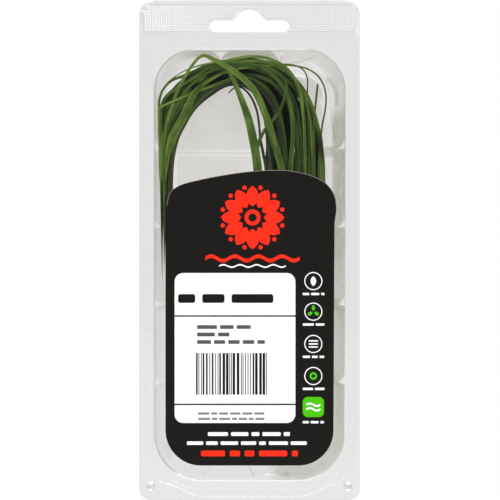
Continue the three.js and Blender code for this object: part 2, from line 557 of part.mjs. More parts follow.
// A flat blade along a smooth curve through its stations. Each station has a place and a width,
// and turns says how far the blade is turned about its length. Its front and its back are split
// along the same diagonals.
function blade(stations, turns) {
  const curve = new THREE.CatmullRomCurve3(stations.map(({ x, y, z, width }) => keepInside(x, y, z, width)));
  const spans = stations.length - 1;
  const positions = [];
  for (let i = 0; i <= spans; i += 1) {
    const share = i / spans;
    const middle = curve.getPoint(share);
    const along = curve.getTangent(share);
    const halfWidth = stations[i].width / 2;
    const turn = throughThree(turns, share);
    const flatAcross = along.clone().cross(new THREE.Vector3(0, -1, 0)).normalize();
    const flatFront = flatAcross.clone().cross(along);
    const across = flatAcross.clone().multiplyScalar(Math.cos(turn))
      .addScaledVector(flatFront, Math.sin(turn)).multiplyScalar(halfWidth);
    const front = flatFront.clone().multiplyScalar(Math.cos(turn))
      .addScaledVector(flatAcross, -Math.sin(turn)).multiplyScalar(LEAF_THICKNESS / 2);
    for (const [side, face] of [[-1, 1], [1, 1], [1, -1], [-1, -1]]) {
      const corner = middle.clone().addScaledVector(across, side).addScaledVector(front, face);
      positions.push(corner.x, corner.y, corner.z);
    }
  }
  const [frontLeft, frontRight, backRight, backLeft] = [0, 1, 2, 3];
  const index = [frontLeft, backLeft, backRight, frontLeft, backRight, frontRight];
  for (let ring = 0; ring < spans * 4; ring += 4) {
    const next = ring + 4;
    index.push(ring + frontLeft, ring + frontRight, next + frontRight);
    index.push(ring + frontLeft, next + frontRight, next + frontLeft);
    index.push(ring + backRight, ring + backLeft, next + backRight);
    index.push(ring + backLeft, next + backLeft, next + backRight);
    index.push(ring + frontRight, ring + backRight, next + backRight);
    index.push(ring + frontRight, next + backRight, next + frontRight);
    index.push(ring + backLeft, ring + frontLeft, next + frontLeft);
    index.push(ring + backLeft, next + frontLeft, next + backLeft);
  }
  const end = spans * 4;
  index.push(end + frontLeft, end + frontRight, end + backRight);
  index.push(end + frontLeft, end + backRight, end + backLeft);
  const geometry = new THREE.BufferGeometry();
  geometry.setAttribute('position', new THREE.Float32BufferAttribute(positions, 3));
  geometry.setIndex(index);
  return toSolid(geometry);
}

// How far the bunch has opened at a height, from its pinched end to its top.
const opening = (z) => THREE.MathUtils.smoothstep(z, PINCHED_Z, OPEN_Z);

// The depth of a layer at a height.
const layerY = (layer, z) => mix(layer.pinchedY, layer.openY, opening(z));

// The cut end of a leaf, pressed against its neighbours at the foot of the bunch.
function cutEnd(x, place, layer, draw) {
  const y = layer.pinchedY + (place % 2 ? CUT_END_STAGGER : -CUT_END_STAGGER);
  return { x, y, z: CUT_END_Z + CUT_SPREAD * draw(), width: CUT_END_WIDTH };
}

function frontLayer() {
  const layer = LAYERS[0];
  const draw = draws(11);
  const blades = FRONT_LEAVES.map(({ turns, lift, route }, place) => {
    const stations = route.map(([x, z, width], i) => {
      const back = throughThree(lift, (i + 1) / route.length) * opening(z);
      return { x, y: layerY(layer, z) + back, z, width };
    });
    const cutX = FRONT_LAYER_START_X + place * FRONT_CUT_SPACING;
    return blade([cutEnd(cutX, place, layer, draw), ...stations], turns);
  });
  return toGeometry(wasm.Manifold.union(blades));
}

// One leaf of a back layer, led between the bunch's inner and outer edge.
function backLeaf(place, layer, draw) {
  const share = (place + LAYER_OFFSET * LAYERS.indexOf(layer)) / LEAVES_PER_BACK_LAYER;
  const shares = [share, share + CROSSING * draw(), share + TIP_CROSSING * draw()];
  const width = LEAF_WIDTH + WIDTH_SPREAD * draw();
  const drop = TIP_DROP + TIP_DROP_SPREAD * draw();
  const turns = [0, TWIST * draw(), TIP_TWIST * draw()];
  const halfDepth = (width / 2) * Math.sin(Math.abs(throughThree(turns, 0.5))) + LEAF_THICKNESS / 2;
  const spare = LAYER_HALF_DEPTH - halfDepth;
  const depths = [0, 1.5 * spare * draw(), 0.8 * spare * draw()];
  const stations = INNER_EDGE.map(([innerX, innerZ], i) => {
    const along = (i + 1) / INNER_EDGE.length;
    const across = THREE.MathUtils.clamp(throughThree(shares, along) + WANDER * draw(), 0, 1);
    const [outerX, outerZ] = OUTER_EDGE[i];
    const z = mix(innerZ, outerZ, across);
    const y = layerY(layer, z) + throughThree(depths, along);
    return { x: mix(innerX, outerX, across), y, z, width: mix(width, 0.5 * width, along ** 2) };
  });
  const last = stations.at(-1);
  const tip = { ...last, z: last.z - drop, width: 0.3 * width };
  const cutX = BACK_LAYER_START_X + place * BACK_CUT_SPACING;
  return blade([cutEnd(cutX, place, layer, draw), ...stations, tip], turns);
}

function backLayer(layer, seed) {
  const draw = draws(seed);
  const blades = [];
  for (let place = 0; place < LEAVES_PER_BACK_LAYER; place += 1) blades.push(backLeaf(place, layer, draw));
  return toGeometry(wasm.Manifold.union(blades));
}

const pack = new THREE.Group();
pack.add(mesh('tray', trayGeometry(), CLEAR_PLASTIC));
pack.add(mesh('lid', lidGeometry(), CLEAR_PLASTIC));
pack.add(mesh('label', labelGeometry(), LABEL_FINISH));
LAYERS.forEach((layer, i) => {
  const finish = { color: LEAF_GREENS[i], roughness: 0.5, metalness: 0 };
  const leaves = i === 0 ? frontLayer() : backLayer(layer, 13 + 10 * i);
  pack.add(mesh(`chives_layer_${i + 1}`, leaves, finish));
});

export default pack;
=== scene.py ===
import math
import bpy
import bmesh
import numpy as np
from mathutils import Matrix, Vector
from mathutils.geometry import delaunay_2d_cdt


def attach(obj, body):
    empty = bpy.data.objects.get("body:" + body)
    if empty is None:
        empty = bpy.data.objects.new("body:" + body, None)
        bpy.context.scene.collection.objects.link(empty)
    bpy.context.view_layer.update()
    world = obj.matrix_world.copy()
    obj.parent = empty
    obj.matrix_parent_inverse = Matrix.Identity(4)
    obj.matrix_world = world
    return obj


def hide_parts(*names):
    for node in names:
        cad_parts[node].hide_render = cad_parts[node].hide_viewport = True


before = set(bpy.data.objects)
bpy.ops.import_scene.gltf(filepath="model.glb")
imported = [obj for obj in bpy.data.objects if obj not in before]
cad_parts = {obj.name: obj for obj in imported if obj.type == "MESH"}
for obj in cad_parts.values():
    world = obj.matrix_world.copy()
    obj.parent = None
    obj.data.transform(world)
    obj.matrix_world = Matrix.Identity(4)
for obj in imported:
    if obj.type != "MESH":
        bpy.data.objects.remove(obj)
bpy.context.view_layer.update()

# Lengths below are in millimetres, with the pack's front towards -Y and its hang slot's crown at the
# origin, and become metres when a mesh is made.
MM = 0.001

# The camera stands level in front of the pack, and the pack's height fills the picture.
CAMERA_DISTANCE = 470
PICTURE_WIDTH = 200
PICTURE_CENTRE_X = 0.2
PICTURE_CENTRE_Z = -96.28
SENSOR_WIDTH = 36

# The sheet that tray and lid are formed from, and the gap between the two when shut.
SHEET = 0.5
SHEET_GAP = 0.3
PACK_HALF_WIDTH = 44
PACK_TOP = 3.75
PACK_BOTTOM = -196.25
PACK_CORNER = 4.8
FORM_SHIFT = 0.6
FOLD_RADIUS = 0.6
FOLD_HALF_LENGTH = 38.5
FOLD_Z = PACK_TOP - FOLD_RADIUS
LID_TOP = FOLD_Z - 0.9
TRAY_FRONT = SHEET_GAP / 2
TRAY_BACK = TRAY_FRONT + SHEET
LID_FRONT = -SHEET_GAP / 2 - SHEET
LID_BACK = LID_FRONT + SHEET

SLOT_HALF_LENGTH = 16
SLOT_TOP = -4.28
SLOT_BOTTOM = -9.4
HUMP_HALF_WIDTH = 6.7
HUMP_SHOULDER = (3.2, -0.9)

# The steps of the flange, to a raised platform and a border on it, and how wide each step is on the
# tray and on the lid.
STEP_HEIGHT = 0.7
TRAY_STEP_RUNS = (0.4, 0.25)
LID_STEP_RUNS = (0.5, 0.4)
PLATFORM_TOP = -10.3
PLATFORM_BOTTOM = -195.2
PLATFORM_HALF_WIDTH = 42.6
PLATFORM_CORNER = 2
PLATFORM_WAVE = [(42.6, -168), (42, -173), (40.5, -179), (36.9, -188.2), (35.6, -189.6), (33, -190.1),
                 (29.5, -191.3), (25.4, -193.3), (20, PLATFORM_BOTTOM)]
BORDER_TOP = -13.5
BORDER_BOTTOM = -191.9
BORDER_HALF_WIDTH = 39.9
BORDER_TOP_CORNER = 7.2
BORDER_BOTTOM_CORNER = 20

CAVITY_CENTRE_X = 0.1
CAVITY_TOP = -16.6
CAVITY_BOTTOM = -188
CAVITY_HALF_WIDTH = 37.8
CAVITY_TOP_CORNER = 16
CAVITY_BOTTOM_CORNER = 19
TRAY_DEPTH = 18
RIB_HEIGHTS = [-55.6, -87, -118.4, -149.8]
FLUTE_OFFSET = 11.8

BUTTON_X = 39.4
BUTTON_Z = -190.6

# The knurled band across the top of the lid: its box and corners, its distance from the slot and from
# the lid's edge, the pitch of its studs and their height.
KNURL_LEFT = -42
KNURL_RIGHT = 43.2
KNURL_TOP = 1.6
KNURL_BOTTOM = -8.9
KNURL_CORNER = 3.5
KNURL_LOWER_CORNER = 0.3
KNURL_MARGIN = 0.01
KNURL_SLOT_ROOM = 0.5
KNURL_EDGE_ROOM = 0.3
KNURL_PITCH = 0.93
KNURL_HEIGHT = 0.035

# The label: its front, its back, which stands just off the lid's panel, the bevel of its rim, and its
# edge from the left side over the bowed top to the right.
LABEL_FRONT = -4.45
LABEL_BACK = -4.22
LABEL_BEVEL = 0.18
LABEL_BEVEL_DEPTH = 0.1
LABEL_TOP_EDGE = [(-33.3, -86), (-32.8, -78.5), (-31.2, -73.2), (-27.6, -70.6), (-20.6, -68.6),
                  (-11.5, -66.8), (-1.5, -65.3), (9.7, -64.6), (17.6, -65.1), (25.6, -67.2),
                  (30.9, -70.4), (33.7, -74.6), (34.4, -79), (33.7, -86)]
LABEL_HALF_WIDTH = 33.3
LABEL_BOTTOM = -181.7
LABEL_BOTTOM_CORNER = 14

# The bunch: the size of a leaf, its cut ends, each layer's depth at the pinched end and at the top, and
# how the leaves behind the front layer spread. Its two edges have X and Z, from low down to the tips.
LEAF_THICKNESS = 0.62
LEAF_CLEARANCE = 0.3
LEAF_WIDTH = 1.9
CUT_END_WIDTH = 2.5
BACK_CUT_WIDTH = 16.8
CUT_END_Z = -172
CUT_END_STAGGER = 0.2
CUT_SPREAD = 4
LAYERS = [(1.3, -1.8), (2.65, 1.5), (4, 4.7), (5.35, 7.9), (6.7, 11.1)]
LAYER_HALF_DEPTH = 1.45
LAYER_OFFSET = 0.2
PINCHED_Z = -172
OPEN_Z = -82
LEAVES_PER_BACK_LAYER = 12
BACK_LAYER_START_X = 3.4
FRONT_LAYER_START_X = 1.6
FRONT_CUT_SPACING = 1.6
CROSSING = 0.25
TIP_CROSSING = 0.35
WANDER = 0.05
WIDTH_SPREAD = 0.45
TIP_DROP = 26
TIP_DROP_SPREAD = 20
TWIST = 1.8
TIP_TWIST = 0.9
MIDDLE_LIFT = 1.5
TIP_LIFT = 0.8
TIP_WIDTH = 0.5
END_WIDTH = 0.3
INNERMOST_LEAF = {"light": [0.45], "purple": [0.35]}
INNER_EDGE = [(4, -120), (5, -92), (7, -64), (7.6, -51.7), (6.2, -40.4), (3, -32.8),
              (-3.5, -28.6), (-9.5, -28.8), (-15.1, -32), (-22.6, -38.4), (-26.7, -45.2),
              (-29.2, -50.3), (-31, -57.8), (-31.7, -66)]
OUTER_EDGE = [(26, -120), (28.6, -92), (30, -64), (28.7, -50.9), (26, -41), (20.4, -31.5),
              (13.6, -23.2), (2.3, -18.9), (-10.7, -20.5), (-20.3, -23.4), (-27.8, -28), (-34, -35.2),
              (-35.4, -47), (-35.5, -66)]

# The leaves of the front layer. Turns and lift, which is how far a leaf stands back in its layer, are
# given at its cut end, its middle and its tip. How light and how purple it is are spread evenly over
# its length. Its route has X, Z and width.
FRONT_LEAVES = [
    {"turns": (0, 0.3, 0.2), "lift": (-0.3, -0.5, 0.2), "light": (0.35, 0.4, 0.45, 0.35, 0.4),
     "shaded": True,
     "route": [(5, -139.9, 1.7), (4, -99.9, 1.7), (2.9, -64.3, 1.6), (3, -57.1, 1.5), (4, -52.7, 1.4),
               (6, -48.7, 1.4), (8.4, -45.7, 1.3), (10.8, -42.5, 1.3), (12.8, -38.9, 1.3),
               (14.2, -34.9, 1.3), (14.6, -31.3, 1.3), (13.6, -28.1, 1.3), (11, -25.5, 1.3),
               (6.2, -23.6, 1.2), (0.2, -22.8, 1.1), (-6.2, -23.3, 1.1), (-12.6, -25.1, 1),
               (-18.6, -28.1, 1), (-24.2, -32.7, 1), (-29, -39.1, 1), (-32.4, -46.7, 0.9),
               (-34, -56.3, 0.8)]},
    {"turns": (0, -0.2, 0.3), "lift": (-0.5, -0.5, -0.1), "light": (0.5, 0.6, 0.65, 0.6, 0.5, 0.6, 0.5),
     "route": [(5.6, -139.9, 2.8), (4.2, -99.9, 3.4), (3.3, -64.3, 3.5), (1.5, -52.7, 3.4),
               (-0.4, -44.3, 3.1), (-2.4, -38.3, 2.6), (-4.8, -32.3, 2), (-6.8, -27.9, 1.6),
               (-8.2, -25.6, 1.2), (-10, -25.6, 1.1), (-14.6, -27.8, 1.4), (-18.2, -30.1, 1.7),
               (-20.6, -32.5, 2.2), (-22.8, -35.5, 2.8), (-24.4, -39.3, 3.1), (-26.4, -43.3, 3.2),
               (-28.8, -47.5, 3.1), (-31, -51.1, 2.6), (-32.3, -54.7, 1.8), (-33.2, -61.1, 1.2),
               (-33.4, -68.3, 0.72)]},
    {"turns": (0, 0.2, 0), "lift": (0.3, 0.4, 0.4), "light": (0.3, 0.5, 0.4), "purple": (0.5, 1, 0.6),
     "route": [(6.6, -139.9, 1.6), (6.8, -99.9, 1.6), (6.7, -64.3, 1.4), (5.4, -57.5, 1.2),
               (4.3, -51.5, 0.95), (3.8, -45.9, 0.92), (2.9, -40.7, 0.86), (1.4, -36.7, 0.86),
               (-0.6, -33.6, 0.81), (-3, -31.6, 0.76), (-5.8, -30.7, 0.76), (-9, -30.4, 0.86),
               (-12.2, -31.5, 0.95), (-16.2, -34.2, 1), (-20.2, -38.1, 1.1), (-23.8, -42.7, 1.1),
               (-26.8, -47.7, 1.1), (-29, -52.7, 1.1), (-30.3, -58.3, 1.1), (-31, -65.1, 1)]},
    {"turns": (0, 0, 0.2), "lift": (0.4, 0.5, 0.5), "light": (0.3, 0.5, 0.6), "purple": (0.5, 0.7, 0.3),
     "route": [(8.4, -139.9, 1.8), (8.4, -99.9, 1.7), (8.2, -64.3, 1.5), (7.9, -58.3, 1.4),
               (7.2, -51.5, 1.2), (6.2, -45.1, 1), (4.8, -39.5, 0.95), (3, -35.1, 0.9),
               (0.8, -31.8, 0.7), (-1.4, -30.1, 0.6), (-3.8, -30.3, 0.6), (-6.2, -31.7, 0.6),
               (-7.6, -32.9, 0.6), (-8.5, -34.1, 0.5)]},
    {"turns": (0, 0.15, 0.3), "lift": (-0.8, -0.9, 0.4), "light": (0.6, 0.65, 0.8, 1, 0.8, 0.6),
     "route": [(13.4, -139.9, 2.6), (14.2, -99.9, 2.8), (12.8, -64.3, 2.7), (11.1, -57.9, 2.8),
               (9.2, -51.5, 2.8), (7.5, -45.9, 2.8), (5.7, -40.9, 2.7), (3.4, -35.5, 2.6),
               (0.6, -31.2, 2.5), (-2.8, -27.8, 2.4), (-6.6, -24.9, 2.3), (-10.8, -22.2, 2.1),
               (-14.8, -20.2, 1.7), (-18.2, -18.8, 1.3), (-20.2, -19.7, 1.2), (-22.8, -22.7, 1.2),
               (-25.2, -26.3, 1.2), (-27.4, -30.1, 1.3), (-29.2, -34.1, 1.3), (-30.9, -38.9, 1.4),
               (-32.7, -44.3, 1.4), (-33.9, -50.7, 1.3), (-34.6, -59.5, 1)]},
    {"turns": (0, 0.2, 0), "lift": (0.5, 0.6, 0.4), "light": (0, 0, 0.05, 0.2),
     "purple": (0.4, 0.5, 0.2),
     "route": [(12.8, -139.9, 1.8), (13.2, -99.9, 1.8), (12.9, -64.3, 1.8), (12.6, -56.3, 1.8),
               (12, -49.9, 1.8), (10.8, -43.1, 1.7), (8.6, -37.5, 1.6), (5.4, -33.3, 1.5),
               (1.4, -30.5, 1.4), (-3.4, -29.5, 1.3), (-8.2, -29.6, 1.2), (-13, -30.9, 1.2),
               (-17.4, -33.2, 1.2), (-21.4, -36.5, 1.2), (-25, -40.7, 1.1), (-27.8, -45.5, 1),
               (-30, -50.9, 1), (-31.6, -57.1, 0.8)]},
    {"turns": (0, -0.2, 0.2), "lift": (0.3, 0.4, -1), "light": (0.1, 0.15, 0.4, 0.95, 0.8),
     "route": [(14.8, -139.9, 2), (15, -99.9, 2), (14.6, -64.3, 2), (14, -55.5, 2), (12.8, -46.7, 1.8),
               (11, -39.1, 1.8), (8.2, -33.9, 1.6), (4.6, -30.3, 1.4), (0.2, -28.1, 1.4),
               (-4.2, -27.9, 1.3), (-7.8, -28.4, 1.2), (-11.4, -29.5, 1.1), (-15.4, -31.1, 1.1),
               (-19.8, -32.9, 1), (-23.8, -34.3, 1), (-28.2, -36.1, 1), (-32.4, -38, 1),
               (-35.2, -39.3, 1), (-36.5, -40.1, 0.9), (-36.7, -42.3, 0.72), (-36.5, -47.5, 0.6),
               (-36.4, -53.1, 0.4)]},
    {"turns": (0, 0.2, -0.1), "lift": (0, -0.1, 0.1), "light": (0.45, 0.5, 0.45, 0.3, 0.5, 0.8),
     "route": [(16.4, -139.9, 2), (16.4, -99.9, 2.1), (16.4, -64.3, 2), (16.8, -57.1, 1.9),
               (17.3, -49.9, 1.8), (17.1, -43.9, 1.8), (16.3, -38.7, 1.7), (14.9, -34.5, 1.6),
               (12.8, -30.6, 1.6), (10.2, -27.3, 1.5), (6.8, -24.7, 1.4), (2.6, -23.1, 1.3),
               (-2.6, -22.2, 1.2), (-8.2, -22.4, 1.2), (-14.2, -22.8, 1.2), (-18.6, -23.7, 1.2),
               (-23, -25.5, 1.2), (-26.8, -27.1, 1.2), (-30.6, -28.5, 1.1), (-33, -30.4, 1),
               (-34.8, -33.1, 0.8), (-35.8, -36.3, 0.8), (-36.1, -40.3, 1), (-35.8, -45.9, 1.2),
               (-35.6, -53.1, 1.4), (-35.5, -62.3, 1.4), (-35.6, -74.3, 0.8)]},
    {"turns": (0, 0.3, -0.1), "lift": (0.5, 0.5, -0.1), "light": (0.1, 0.15, 0.25, 0.3, 0.7, 0.8),
     "purple": (0, 0, 0.2, 0.1),
     "route": [(18.6, -139.9, 1.8), (19.2, -99.9, 1.9), (19.2, -64.3, 2), (19, -56.3, 2),
               (18.3, -48.3, 1.9), (16.8, -41.1, 1.8), (14.4, -35.7, 1.7), (11.2, -31.5, 1.6),
               (7.2, -28.5, 1.5), (2.6, -26.8, 1.4), (-2, -26.7, 1.4), (-6.4, -28, 1.3),
               (-10.6, -30, 1.2), (-14.6, -32.4, 1.1), (-18.2, -35.2, 1), (-21.3, -38.6, 1),
               (-24, -42.3, 1), (-26.6, -46.3, 1), (-28.7, -50.2, 1), (-30.3, -54.1, 1),
               (-31.8, -57.7, 0.9), (-32.7, -61.9, 0.9), (-33.3, -68.3, 0.72)]},
    {"turns": (0, -0.2, 0.1), "lift": (0.4, 0.4, 0.3), "light": (0.1, 0.15, 0.15, 0.25, 0.5, 0.4),
     "route": [(20.4, -139.9, 1.8), (20.6, -99.9, 1.8), (20.7, -64.3, 1.8), (20.6, -56.3, 1.7),
               (20.1, -48.3, 1.6), (19.1, -41.1, 1.5), (17.2, -35.7, 1.4), (14.8, -31.9, 1.4),
               (11, -28.3, 1.3), (6.6, -25.7, 1.2), (1.8, -24, 1.1), (-3.8, -23, 1.1),
               (-9.4, -23.2, 1.1), (-15, -24.8, 1.1), (-20, -27.7, 1.1), (-24.4, -31.5, 1.1),
               (-28, -36.3, 1.1), (-30.8, -42.3, 1), (-32.6, -49.5, 1), (-33.4, -57.1, 0.8)]},
    {"turns": (0, -0.1, 0.1), "lift": (-0.2, -0.3, -0.2), "light": (0.5, 0.65, 0.8, 0.95, 0.8, 0.7),
     "route": [(22, -139.9, 1.6), (22.2, -99.9, 1.6), (22.2, -64.3, 1.4), (22.1, -56.3, 1.4),
               (21.9, -49.1, 1.3), (21.3, -41.1, 1.3), (20.3, -34.5, 1.4), (18.8, -29.7, 1.4),
               (16.4, -25.9, 1.4), (13.2, -22.8, 1.4), (9.4, -20.7, 1.4), (5, -19.5, 1.3),
               (0.2, -19.2, 1.2), (-5, -20, 1.2), (-10.2, -21, 1), (-15, -21.8, 0.8),
               (-18.6, -22.5, 0.72), (-22.6, -23.6, 0.56), (-26.4, -25.2, 0.48), (-30.2, -27.6, 0.48),
               (-33.2, -30.4, 0.48), (-35.2, -33.3, 0.48), (-36.2, -36.7, 0.48), (-36.4, -41.1, 0.44),
               (-36.4, -46.3, 0.4)]},
    {"turns": (0, 0, 0), "lift": (0.4, 0.4, 0.2), "light": (0.2, 0.2, 0.25, 0.6, 0.9, 0.8),
     "purple": (0.1,),
     "route": [(23, -139.9, 1.6), (23.7, -99.9, 1.6), (23.8, -64.3, 1.5), (23.7, -52.3, 1.3),
               (23.4, -42.3, 0.95), (23.1, -35.5, 0.57), (23.1, -31.5, 0.55), (23.1, -27.9, 0.55),
               (22.1, -25.3, 0.55), (20.3, -23.6, 0.55), (17.8, -22.6, 0.55), (14.6, -22.2, 0.57),
               (10.6, -22.2, 0.62), (5, -22.6, 0.78), (-1.4, -23.5, 0.83), (-7.8, -24.9, 0.83)]},
    {"turns": (0, 0.3, 0.1), "lift": (0.1, 0.1, 0), "light": (0.5, 0.5, 0.6, 0.75, 0.5, 0.45, 0.5),
     "route": [(24.6, -139.9, 1.4), (25.2, -99.9, 1.4), (25.3, -64.3, 1.4), (25.1, -56.3, 1.3),
               (24.5, -48.3, 1.2), (23.4, -41.1, 1.2), (21.8, -35.1, 1.2), (19.6, -30.3, 1.2),
               (16.6, -26.5, 1.2), (12.8, -23.5, 1.2), (8.2, -21.6, 1.2), (3, -20.9, 1.2),
               (-2.6, -21.1, 1.2), (-7.8, -21.6, 1.2), (-12.6, -22.6, 1.1), (-17, -24.2, 1),
               (-21, -26.9, 1.1), (-24.4, -29.1, 1.3), (-27.8, -30.8, 1.4), (-31, -33.1, 1.4),
               (-33.6, -35.7, 1.3), (-35, -38.7, 1.1), (-35.5, -43.1, 1.1), (-35.2, -50.3, 1.2),
               (-34.8, -59.5, 1.2), (-34.6, -69.1, 0.72)]},
    {"turns": (0, 0.4, 0.6), "lift": (0.2, 0.2, 0.2), "light": (0.5, 0.55), "purple": (0.1, 0.4),
     "blunt": True,
     "route": [(24.8, -139.9, 1.6), (25.6, -99.9, 1.4), (25.7, -64.3, 1.3), (25.6, -54.3, 1.1),
               (25.8, -46.3, 1), (26.2, -39.5, 0.9), (26.8, -34.3, 0.9), (27.2, -30, 0.8)]},
    {"turns": (0, 0, 0), "lift": (0.2, 0.2, 0.2), "light": (0.5, 0.75, 0.85, 0.6),
     "purple": (0.4, 0.5, 0.2, 0.1),
     "route": [(26.6, -139.9, 1.2), (27.6, -99.9, 1), (27.7, -64.3, 0.95), (28.1, -56.3, 0.9),
               (28.5, -50.7, 0.8), (29.1, -45.9, 0.7), (30, -41.5, 0.68), (30.5, -37.1, 0.65),
               (30.3, -33.3, 0.65), (29.3, -30, 0.65), (27.6, -27.3, 0.65), (25.4, -25.4, 0.65),
               (22.8, -24, 0.65), (19.8, -23.2, 0.65), (16.4, -22.7, 0.7), (12.2, -22.6, 0.8),
               (6.6, -23.1, 0.9), (0.2, -24, 0.9)]},
    {"turns": (0, -0.2, 0.3), "lift": (0.2, 0.3, 0.3),
     "light": (0.7, 0.75, 0.6, 0.5, 0.35, 0.1, 0.1, 0.35), "shaded": True,
     "route": [(28.4, -139.9, 1.8), (29, -99.9, 1.9), (29.2, -64.3, 2), (28.8, -57.9, 1.8),
               (28.1, -51.9, 1.6), (27, -46.3, 1.6), (25.4, -40.5, 1.5), (23.3, -35.5, 1.5),
               (20.8, -31.3, 1.4), (17.6, -27.6, 1.3), (13.8, -24.6, 1.3), (9, -22.7, 1.2),
               (3.4, -22, 1.2), (-2.6, -22.7, 1.2), (-8.2, -24.4, 1.2), (-13.8, -26.9, 1.3),
               (-18.6, -29.9, 1.4), (-23, -33.7, 1.4), (-26.8, -38.3, 1.5), (-30, -43.7, 1.5),
               (-32.2, -49.7, 1.4), (-33.3, -56.3, 1.3), (-33.7, -65.1, 0.8)]},
    # A filler leaf standing back in the layer, dark with painted shade.
    {"turns": (0, 0.1, 0), "lift": (1, 1.1, 1), "light": (0, 0.05, 0.1, 0.2), "shaded": True,
     "route": [(23.6, -139.9, 2), (24, -99.9, 2), (24, -64.3, 2), (23.8, -57, 2), (22.9, -51, 2),
               (21.4, -46, 2), (20.9, -42, 2), (20.9, -37, 1.9), (19, -32.5, 1.7), (15, -28.8, 1.5),
               (10, -26, 1.2), (3, -25, 1)]},
]

ARC_STEPS = 22


# Helpers


def mix(a, b, share):
    return a + (b - a) * share


def smooth(share):
    share = np.clip(share, 0, 1)
    return share * share * (3 - 2 * share)


def make_object(name, points, faces, sharp_angle=None):
    """A mesh object from points in millimetres."""
    mesh = bpy.data.meshes.new(name)
    mesh.from_pydata((np.asarray(points, float) * MM).tolist(), [], [list(f) for f in faces])
    if sharp_angle is not None:
        mesh.polygons.foreach_set("use_smooth", [True] * len(mesh.polygons))
        mesh.set_sharp_from_angle(angle=math.radians(sharp_angle))
    obj = bpy.data.objects.new(name, mesh)
    bpy.context.scene.collection.objects.link(obj)
    return obj


def set_values(mesh, name, values):
    """A number for each vertex, which materials read by name."""
    attribute = mesh.attributes.new(name, "FLOAT", "POINT")
    attribute.data.foreach_set("value", np.asarray(values, np.float32))


def face_outwards(mesh, weld=None):
    """Turns all faces outwards, after points closer together than weld are joined."""
    bm = bmesh.new()
    bm.from_mesh(mesh)
    if weld is not None:
        bmesh.ops.remove_doubles(bm, verts=bm.verts, dist=weld)
    bmesh.ops.recalc_face_normals(bm, faces=bm.faces)
    bm.to_mesh(mesh)
    bm.free()


def tube_faces(start, rings, size):
    """The faces of a closed tube of rings: its bands, then its two ends."""
    last = start + (rings - 1) * size
    faces = [(a + i, a + (i + 1) % size, a + size + (i + 1) % size, a + size + i)
             for a in range(start, last, size) for i in range(size)]
    return faces + [tuple(range(start, start + size))[::-1], tuple(range(last, last + size))]


def rgb(red, green, blue):
    """A colour from its 8-bit screen values."""
    def linear(value):
        value /= 255
        return value / 12.92 if value <= 0.04045 else ((value + 0.055) / 1.055) ** 2.4
    return (linear(red), linear(green), linear(blue), 1)


# Outlines in X and Z, clockwise as seen from the front


def quarter_turn(x, z, radius, start, steps=ARC_STEPS):
    angles = start - np.linspace(0, math.pi / 2, steps + 1)
    return [(x + radius * math.cos(a), z + radius * math.sin(a)) for a in angles]


def rounded_rect(centre, half_width, top, bottom, top_corner, bottom_corner):
    right = centre + half_width
    left = centre - half_width
    return [
        *quarter_turn(left + top_corner, top - top_corner, top_corner, math.pi),
        *quarter_turn(right - top_corner, top - top_corner, top_corner, math.pi / 2),
        *quarter_turn(right - bottom_corner, bottom + bottom_corner, bottom_corner, 0),
        *quarter_turn(left + bottom_corner, bottom + bottom_corner, bottom_corner, -math.pi / 2),
    ]


def pack_outline(top):
    return rounded_rect(0, PACK_HALF_WIDTH, top, PACK_BOTTOM, PACK_CORNER, PACK_CORNER)


def border_outline():
    return rounded_rect(FORM_SHIFT, BORDER_HALF_WIDTH, BORDER_TOP, BORDER_BOTTOM, BORDER_TOP_CORNER,
                        BORDER_BOTTOM_CORNER)


def through(points, steps):
    """A smooth open curve through points, with steps to each span."""
    points = np.asarray(points, float)
    route = CatmullRom(points)
    count = steps * (len(points) - 1)
    return [tuple(route.point(i / count)) for i in range(count + 1)]


class CatmullRom:
    """The centripetal curve through points that the solids' leaves follow."""

    def __init__(self, points):
        self.points = np.asarray(points, float)

    def point(self, share):
        points = self.points
        place = (len(points) - 1) * share
        span = min(int(place), len(points) - 2)
        weight = place - span
        p1 = points[span]
        p2 = points[span + 1]
        p0 = points[span - 1] if span > 0 else 2 * p1 - p2
        p3 = points[span + 2] if span + 2 < len(points) else 2 * p2 - p1
        pairs = ((p0, p1), (p1, p2), (p2, p3))
        d0, d1, d2 = (max(np.sum((b - a) ** 2) ** 0.25, 1e-4) for a, b in pairs)
        t1 = ((p1 - p0) / d0 - (p2 - p0) / (d0 + d1) + (p2 - p1) / d1) * d1
        t2 = ((p2 - p1) / d1 - (p3 - p1) / (d1 + d2) + (p3 - p2) / d2) * d1
        c2 = -3 * p1 + 3 * p2 - 2 * t1 - t2
        c3 = 2 * p1 - 2 * p2 + t1 + t2
        return p1 + t1 * weight + c2 * weight**2 + c3 * weight**3

    def direction(self, share):
        step = 1e-4
        ahead = self.point(min(1, share + step)) - self.point(max(0, share - step))
        return ahead / np.linalg.norm(ahead)


def platform_outline():
    wave = [(FORM_SHIFT + x, z) for x, z in through(PLATFORM_WAVE, 4)]
    mirrored = [(FORM_SHIFT - x, z) for x, z in through(PLATFORM_WAVE, 4)][::-1]
    left = FORM_SHIFT - PLATFORM_HALF_WIDTH + PLATFORM_CORNER
    right = FORM_SHIFT + PLATFORM_HALF_WIDTH - PLATFORM_CORNER
    z = PLATFORM_TOP - PLATFORM_CORNER
    return [
        *quarter_turn(left, z, PLATFORM_CORNER, math.pi, 8),
        *quarter_turn(right, z, PLATFORM_CORNER, math.pi / 2, 8),
        *wave,
        *mirrored,
    ]


